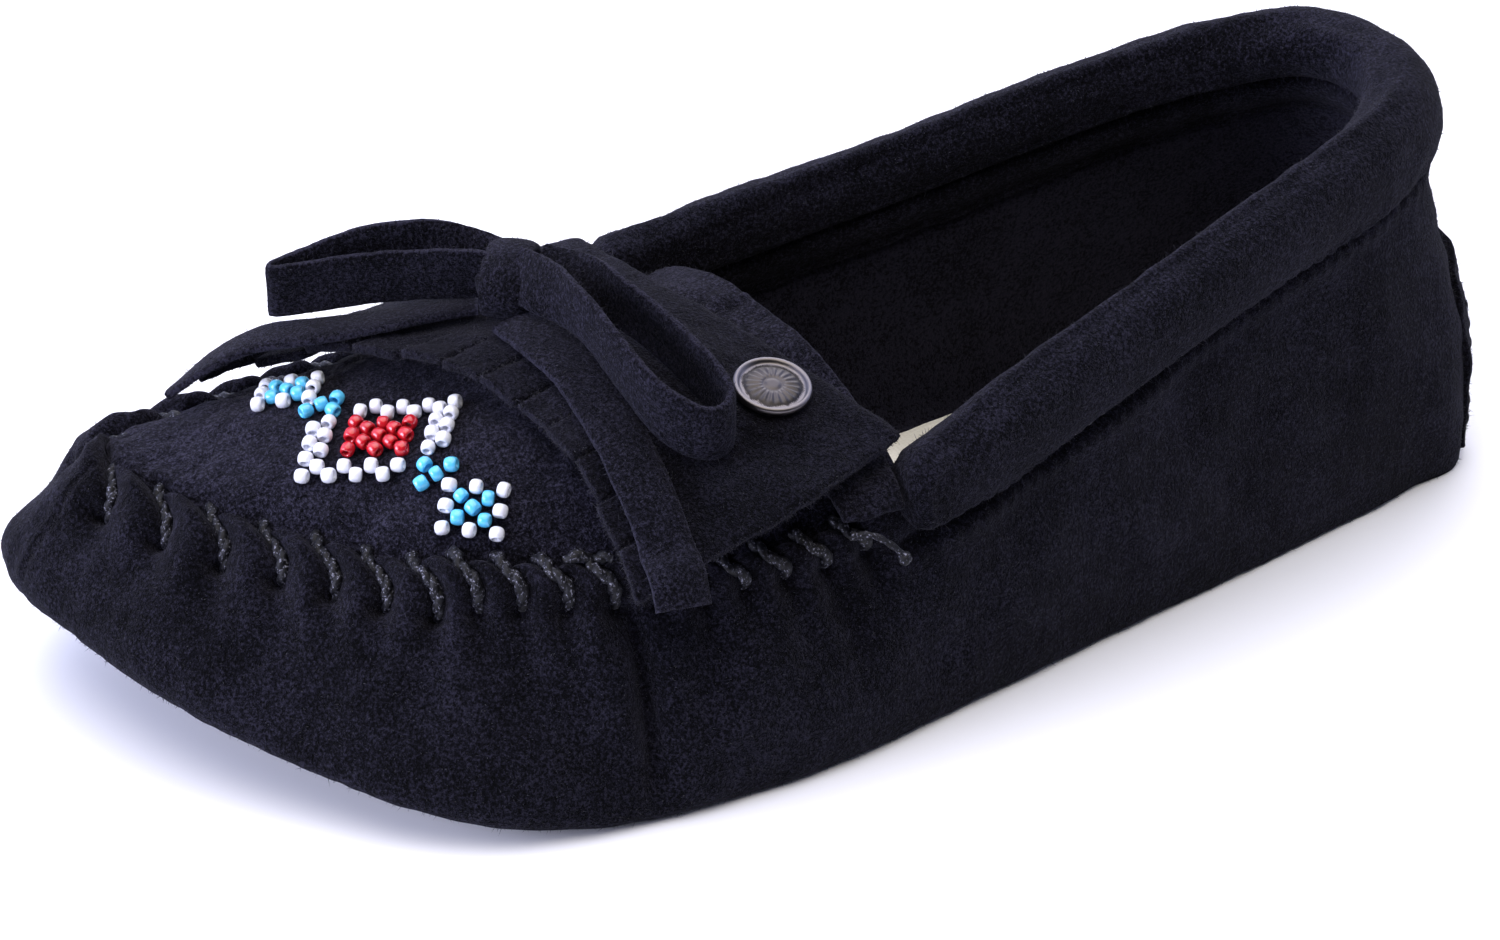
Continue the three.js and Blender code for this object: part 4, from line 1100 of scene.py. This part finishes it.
# ---- the seam's thread and its knotted end
def build_seam():
    parts = []
    for k, (sk, _, _, _, short) in enumerate(STITCHES):
        u0 = float(at_arc(sk - 0.5))
        side = outward(TOP, u0)
        rim, _ = wrap_point(np.array(u0), np.array(0.0))
        along = unit(top_edge(u0 + 0.05) - top_edge(u0 - 0.05))
        inner = rim - side * float(inset(np.array(u0)))
        pts = [inner - along * 1.5 - side * 1.7 - up(0.9), inner - along * 1.1 - side * 0.8 + up(0.25),
               inner - along * 0.5 + up(0.85), rim - side * 0.9 + up(0.95)]
        for share, lift in ((0.05, 1.05), (0.2, 1.1), (0.42, 1.05), (0.68, 0.85), (0.95, 0.3), (1.2, -0.9)):
            h = BITE * short * share
            q, _ = wrap_point(at_arc(np.array(sk + lean_at(h, short))), np.array(h), lift)
            pts.append(q)
        parts += twisted(pts, phase=k * 1.3)
    # one stretch where the thread lies flat along the rim, under the flap's edge
    pts, middle, half = [], 79.75, 3.25
    for share in np.linspace(-1, 1, 6):
        u = at_arc(np.array(middle + half * share))
        rim, _ = wrap_point(u, np.array(0.0))
        pts.append(rim - outward(TOP, u) * 1.2 + up(1.0 - 1.2 * abs(share) ** 4))
    parts += twisted(pts)
    make("seam_whip_stitch", *merge(parts), MAT["thread"], "shoe", ["seam_thread"])
    parts = twisted(np.array([[41.4, -6, 35.2], [43.4, -3.4, 35.3], [45.2, -1, 33.6], [46, 0.4, 31.8]]), 1.15)
    # the knot at its end: three turns, each round its own axis
    knot, turns, sides = np.array([46, 0.4, 31.6]), 24, 8
    a, sec = np.linspace(0, 2 * math.pi, turns + 1)[:-1], circle(0.5, sides)
    for axis in ([1, 0.2, 0.3], [0.2, 1, -0.4], [-0.3, 0.4, 1]):
        axis = unit(np.array(axis))
        e1 = unit(np.cross(axis, [0.3, 0.5, 0.81]))
        radial = np.cos(a)[:, None] * e1 + np.sin(a)[:, None] * np.cross(axis, e1)
        v = (knot + 0.62 * radial)[:, None] + radial[:, None] * sec[None, :, :1] + axis * sec[None, :, 1:]
        f = grid_faces(turns + 1, sides, closed=True) % (turns * sides)
        parts.append((v.reshape(-1, 3), f))
    make("thread_end_knot", *merge(parts), MAT["thread"], "shoe", ["thread_end"])


build_seam()


def build_throat_tab():
    rows = [[[29.9, -6, 39.9], [31.2, -1, 40.6], [32.6, 3.8, 41.2]],
            [[35.8, -6.6, 39.5], [36.8, -1.4, 40.2], [37.4, 3.2, 40.6]],
            [[40.6, -6.6, 37.6], [41.6, -2, 38.0], [42.2, 2.4, 38.2]]]
    rows = np.array(rows, float)
    r, c = np.linspace(0, 2, 30), np.linspace(0, 2, 22)
    across = np.array([spline(rows[:, k], r) for k in range(3)])
    p = np.array([spline(across[:, i], c) for i in range(len(r))])
    p = p + up(0.2 * waves(p, 8, 71) + 0.05 * waves(p, 2.5, 72))
    v, f = facing_grid(p)
    make("throat_tab_end", *thicken(v, f, 1.4), MAT["suede_lace"], "shoe", ["throat_tab"])
    SHOE_FUZZ.append((v, f, 1.2))


build_throat_tab()


# ---- bow
def edgewise(points, turns):
    """A thong standing on its edge; turns are how far (degrees) its two ends lie over, top edge back."""
    path, _ = resample(points, LACE_STEP)
    d = unit(np.gradient(path, axis=0))
    face = unit(np.stack([d[:, 1], -d[:, 0], 0 * d[:, 0]], -1))
    across = np.cross(face, d)
    across = across * np.sign(across[:, 2:] + 1e-9)
    s = np.linspace(0, 1, len(path)) * len(path) * LACE_STEP
    lean = np.radians(turns[0]) * (1 - ramp(s, 3, 17)) + np.radians(turns[1]) * ramp(s, s[-1] - 17, s[-1] - 3)
    away = -face * np.sign(face @ np.array([0.87, -0.49, 0]))[:, None]
    turned = across * np.cos(lean)[:, None] + away * np.sin(lean)[:, None]
    return path, turned, np.cross(turned, d)


def build_bow():
    stand = LACE_W / 2 + GAP + 0.5
    near = [(-12.5, -29.6, 2.2), (-7.2, -26.6, 1.8), (-1, -23.6, 1.2), (7, -21.2, 0.7), (16, -19.4, 0.3),
            (23.5, -18.3, 0.2), (28, -18.9, 0.2), (30, -21.8, 0.4), (28.6, -25.6, 0.9), (24, -29.1, 2.0),
            (16, -30.5, 2.5), (6.6, -30.6, 2.5), (-1.5, -31.2, 2.4), (-7, -32.4, 2.4), (-12, -33.2, 2.2)]
    near = [[x, y, on_flap(min(x, 31), y, 0)[0][2] + stand + z] for x, y, z in near]
    far = [[-17.0, -32.4, 57.4], [-21.0, -36.4, 59.2], [-25, -42, 60.3], [-28.4, -50, 59.9],
           [-30.3, -58.6, 57.9], [-30.7, -63.8, 57], [-29.8, -65.3, 56.9], [-28.7, -63.2, 57],
           [-26.9, -58, 57.3], [-24.3, -50.5, 57.8], [-20.6, -43.4, 58.2], [-17.6, -38, 58.0],
           [-15.5, -34.5, 57.4]]
    thong("lace_loop_near", *edgewise(near, (55, 30)), 13, 0.2)
    thong("lace_loop_far", *edgewise(far, (45, 0)), 14, 0.2)
    # knot: a padded core and the turn of thong that binds it
    mid, _ = on_flap(-14.5, -32.5, 4.55)
    a = np.linspace(0, 2 * math.pi, 49)[:-1]
    b = np.linspace(-math.pi / 2, math.pi / 2, 27)[1:-1]
    A, B = np.meshgrid(a, b)
    high = 4.1

    def power(x, e):
        return np.sign(x) * np.abs(x) ** e

    p = np.stack([6.2 * power(np.cos(B), 0.8) * power(np.cos(A), 0.85),
                  5.4 * power(np.cos(B), 0.8) * power(np.sin(A), 0.85), high * power(np.sin(B), 0.85)], -1)
    p = p + mid + unit(p) * (0.35 * waves(p + mid, 5, 81) + 0.1 * waves(p, 2, 82))[..., None]
    v = np.concatenate([p.reshape(-1, 3), [mid - up(high), mid + up(high)]])
    f = [tuple(q) for q in grid_faces(len(b), len(a), closed=True)[:, ::-1]]
    m = len(a)
    south, north = len(v) - 2, len(v) - 1
    f += [(south, (k + 1) % m, k) for k in range(m)]
    f += [(north, (len(b) - 1) * m + k, (len(b) - 1) * m + (k + 1) % m) for k in range(m)]
    if sum(np.dot(np.cross(v[q[1]] - v[q[0]], v[q[2]] - v[q[0]]), v[q[0]] - mid) for q in f[:200]) < 0:
        f = [tuple(reversed(q)) for q in f]
    # the turn runs across the knot, from the near tail's root
    e1, e2 = unit(np.array([0.80, -0.42, 0.0])), np.array([0.0, 0.0, 1.0])
    axis = np.cross(e1, e2)
    ang = np.linspace(-0.15 * math.pi, 1.15 * math.pi, 46)
    path = mid + np.cos(ang)[:, None] * (e1 * 6.6 + axis * 1.4) + np.sin(ang)[:, None] * e2 * 4.75
    d = unit(np.gradient(path, axis=0))
    face = square_to(unit(path - mid), d)
    turn = strap(path, np.cross(d, face), face, 15, 0.3, width=6.6)
    make("lace_knot_tied", *merge([(v, f), turn]), MAT["suede_lace"], "flap", ["lace_knot"])
    FLAP_FUZZ.append((turn[0], quads(turn[1]), 1.0))


build_bow()


# ---- button
def lathe(profile, centre, axis, seg, wobble=None):
    """Turned solid from its profile of (radius, height); wobble adds to the height round the axis."""
    axis = unit(axis)
    e1 = unit(np.cross(axis, [0.31, 0.9, 0.3]))
    e2 = np.cross(axis, e1)
    a = np.arange(seg) * 2 * math.pi / seg
    spoke = np.cos(a)[:, None] * e1 + np.sin(a)[:, None] * e2
    rows = []
    for r, z in profile:
        height = z + (wobble(r, a) if wobble else 0 * a)
        rows.append(centre + r * spoke + height[:, None] * axis)
    return np.array(rows).reshape(-1, 3), grid_faces(len(profile), seg, closed=True)


def build_button():
    at, axis = on_flap(*BUTTON_AT, 0)
    top = [(0.02, 1.78), (0.6, 1.78), (1.1, 1.74), (1.25, 1.62), (1.5, 1.62), (1.65, 1.74), (2.3, 1.7),
           (3.0, 1.62), (3.7, 1.5), (4.05, 1.42), (4.25, 1.3), (4.7, 1.22), (4.95, 1.26), (5.1, 1.52),
           (5.3, 1.72), (5.55, 1.78), (5.8, 1.68), (5.95, 1.42), (BUTTON_R, 1.1), (5.95, 0.72),
           (5.75, 0.5), (4.0, 0.42), (0.02, 0.42)]

    def rays(r, a):
        return 0.085 * np.cos(20 * a) * float(ramp(r, 1.7, 2.3) * (1 - ramp(r, 3.7, 4.1)))

    v, f = lathe(top, at, axis, 160, rays)
    if np.dot(np.cross(v[f[200][1]] - v[f[200][0]], v[f[200][2]] - v[f[200][0]]), axis) < 0:
        f = f[:, ::-1]
    MAT["metal"] = button_metal(at + axis * 1.7)
    make("button_concho", v, f, MAT["metal"], "flap", ["button_cap"])
    for node in ("button_post", "button_washer"):
        o = frame["nodes"][node]
        o.data.materials.clear()
        o.data.materials.append(MAT["metal"])


build_button()


# ---- beads
BEAD_MID, PITCH, BEAD_SIDES = np.array([-4.3, -60.0]), BEAD + 0.06, 22
ACROSS, FORWARD = np.array([0.95, 0.31]), np.array([-0.1, -0.995])


def bead_place(p, q):
    """Middle of the bead p places across the apron and q places towards the toe."""
    x, y = BEAD_MID + ACROSS * p * PITCH + FORWARD * q * PITCH
    k, v = solve(plug_point, x, y, 3.5, 0.5)
    n = surface_normal(plug_point, k, v)
    base = plug_point(k, v)
    return base + n * (BEAD / 2 + 0.02 + 0.3 * float(waves(base, 24, 21)))


def bead_mesh(at, axis, rng):
    r, h = BEAD / 2 * rng.uniform(0.93, 1.04), BEAD_LEN / 2 * rng.uniform(0.9, 1.06)
    half = [(0.36, -0.55), (0.44, -0.86), (0.68, -0.99), (0.88, -0.78), (0.985, -0.36)]
    prof = half + [(1.0, 0)] + [(a, -b) for a, b in half[::-1]] + half[:1]
    axis = unit(axis + rng.normal(0, 0.09, 3))
    v, f = lathe([(a * r, b * h) for a, b in prof], at, axis, BEAD_SIDES)
    c = v[f[:, 0]] - at
    if (np.cross(v[f[:, 1]] - v[f[:, 0]], v[f[:, 2]] - v[f[:, 0]])[len(f) // 2] @ c[len(f) // 2]) < 0:
        f = f[:, ::-1]
    keep = len(v) - BEAD_SIDES      # the last ring is the first one again
    return v[:keep], f % keep


def bead_row(node, spots, colour, seed):
    rng = np.random.default_rng(seed)
    places = [bead_place(p, q) for p, q in spots]
    parts = []
    for k, p in enumerate(places):
        q = places[k + 1] if k + 1 < len(places) else 2 * p - places[k - 1]
        parts.append(bead_mesh(p, unit(q - p), rng))
    make(node + "_seed", *merge(parts), MAT[colour], "shoe", [node])


def diamond(n):
    """The outline of a stepped diamond, n places from its middle."""
    return ([(k - n, k) for k in range(n)] + [(k, n - k) for k in range(n)] + [(n - k, -k) for k in range(n)]
            + [(-k, k - n) for k in range(n)])


bead_row("beads_centre", [(0, -2), (1, -1), (0, -1), (-1, -1), (-2, 0), (-1, 0), (0, 0), (1, 0), (2, 0),
                          (1, 1), (0, 1), (-1, 1), (0, 2)], "red", 1)
bead_row("beads_chevron_toe", diamond(4)[1:8], "white", 2)
bead_row("beads_chevron_heel", diamond(4)[9:16], "white", 3)
bead_row("beads_edge_toe", diamond(5)[2:9], "white", 4)
bead_row("beads_edge_heel", diamond(5)[12:19], "white", 5)
bead_row("beads_corner_far", [(-5, -1), (-4, 0), (-5, 0), (-5, 1)], "blue", 6)
bead_row("beads_corner_near", [(5, -1), (4, 0), (5, 0), (5, 1)], "blue", 7)
for k, (side, mid) in enumerate((("far", -8.1), ("near", 8.1))):
    bead_row(f"beads_side_{side}_ring", [(mid + p, q) for p, q in diamond(2)], "white", 20 + k)
    cross = [(0, -1), (-1, 0), (0, 0), (1, 0), (0, 1)]
    bead_row(f"beads_side_{side}_middle", [(mid + p, q) for p, q in cross], "blue", 30 + k)


# ---- nap: loose fibres that break the outline
def fibres(body, sources, count, seed, length=0.48):
    """Loose fibres on the body's suede: slim pyramids of about this length."""
    rng = np.random.default_rng(seed)
    tris, weight = [], []
    for v, f, share in sources:
        f = np.asarray(f)
        a, b, c, d = (v[f[:, k]] for k in range(4))
        for p, q, r in ((a, b, c), (a, c, d)):
            tris.append(np.stack([p, q, r], 1))
            weight.append(np.linalg.norm(np.cross(q - p, r - p), axis=1) * share)
    tris, weight = np.concatenate(tris), np.concatenate(weight)
    pick = rng.choice(len(tris), count, p=weight / weight.sum())
    t = tris[pick]
    w = rng.dirichlet((1, 1, 1), count)
    root = (t * w[..., None]).sum(1)
    n = unit(np.cross(t[:, 1] - t[:, 0], t[:, 2] - t[:, 0]))
    lie = rng.normal(size=(count, 3))
    d = unit(n * 0.8 + square_to(lie, n) * rng.uniform(0.3, 1.1, (count, 1)))
    size = rng.gamma(3.0, length / 3.0, count)[:, None]
    e1 = unit(np.cross(d, n + rng.normal(0, 0.2, (count, 3))))
    e2 = np.cross(d, e1)
    thick = rng.uniform(0.035, 0.08, (count, 1))
    buried = 0.12
    root = root - d * buried
    bend = n * size * rng.uniform(-0.15, 0.25, (count, 1))
    foot = [root + e1 * thick * x + e2 * thick * y for x, y in ((1, 0), (-0.5, 0.87), (-0.5, -0.87))]
    v = np.stack(foot + [root + d * np.minimum(size, 2.6 * length) + bend], 1)
    v[..., 2] = np.maximum(v[..., 2], 0.02)
    base = 4 * np.arange(count)[:, None]
    f = np.concatenate([base + np.array(q) for q in ([0, 1, 2], [0, 3, 1], [1, 3, 2], [2, 3, 0])])
    return make("nap_fibres_" + body, v.reshape(-1, 3), f, MAT["fibre"], body)


fibres("shoe", SHOE_FUZZ, 56000, 91)
flap_nap = fibres("flap", FLAP_FUZZ, 24000, 92)

# the flap and its fibres are taken off the flap body and their transforms baked into their meshes; the
# button, bow and lace tails ride with the flap body
for o in (flap, flap_nap):
    o.parent = None
    if "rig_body" in o:
        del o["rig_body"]
    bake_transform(o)


# ---- stage and light
OPENING = (0.91, -0.12, 0.39)       # direction of the room's dark side


def build_stage():
    bpy.ops.mesh.primitive_grid_add(x_subdivisions=8, y_subdivisions=8, size=6)
    floor = bpy.context.active_object
    floor.name = "floor"
    m = Shader("pale_floor")
    n = m.noise(m.coords(), size_mm=400, detail=2)
    m.set(Base_Color=m.ramp(n, [(0.3, (0.93, 0.93, 0.935)), (0.7, (0.95, 0.95, 0.955))]), Roughness=0.85)
    floor.data.materials.append(m.mat)
    world = bpy.data.worlds.new("studio")
    bpy.context.scene.world = world
    world.use_nodes = True
    tree = world.node_tree
    bg = tree.nodes["Background"]
    bg.inputs["Color"].default_value = (0.60, 0.66, 1.0, 1)
    # a white room with a dark opening on the outer side
    way = add_node(tree, "ShaderNodeTexCoord").outputs["Generated"]
    dot = add_node(tree, "ShaderNodeVectorMath", {0: way, 1: OPENING}, operation="DOT_PRODUCT")
    fall = add_node(tree, "ShaderNodeMapRange", {"Value": dot.outputs["Value"], "From Min": 0.0,
                                                 "From Max": 0.75, "To Min": 1.85, "To Max": 0.03},
                    interpolation_type="SMOOTHSTEP")
    tree.links.new(fall.outputs[0], bg.inputs["Strength"])

    target = Vector((0, 0, 0.03))

    def soft(name, at, size, power, colour):
        light = bpy.data.lights.new(name, "AREA")
        light.shape, light.size, light.size_y = "RECTANGLE", size[0], size[1]
        light.energy, light.color = power, colour
        o = bpy.data.objects.new(name, light)
        o.location = at
        o.rotation_euler = (Vector(at) - target).to_track_quat("Z", "Y").to_euler()
        bpy.context.scene.collection.objects.link(o)

    soft("top_softbox", (0.05, 0.0, 1.3), (1.6, 1.6), 18.5, (1.0, 0.94, 0.82))
    soft("left_softbox", (-0.15, -1.5, 0.5), (1.1, 0.8), 31, (0.78, 0.79, 1.0))
    soft("rear_softbox", (-1.0, 0.7, 0.7), (1.1, 0.8), 7, (1.0, 0.94, 0.86))
    scene = bpy.context.scene
    scene.view_settings.view_transform = "Standard"
    scene.view_settings.look = "None"


build_stage()
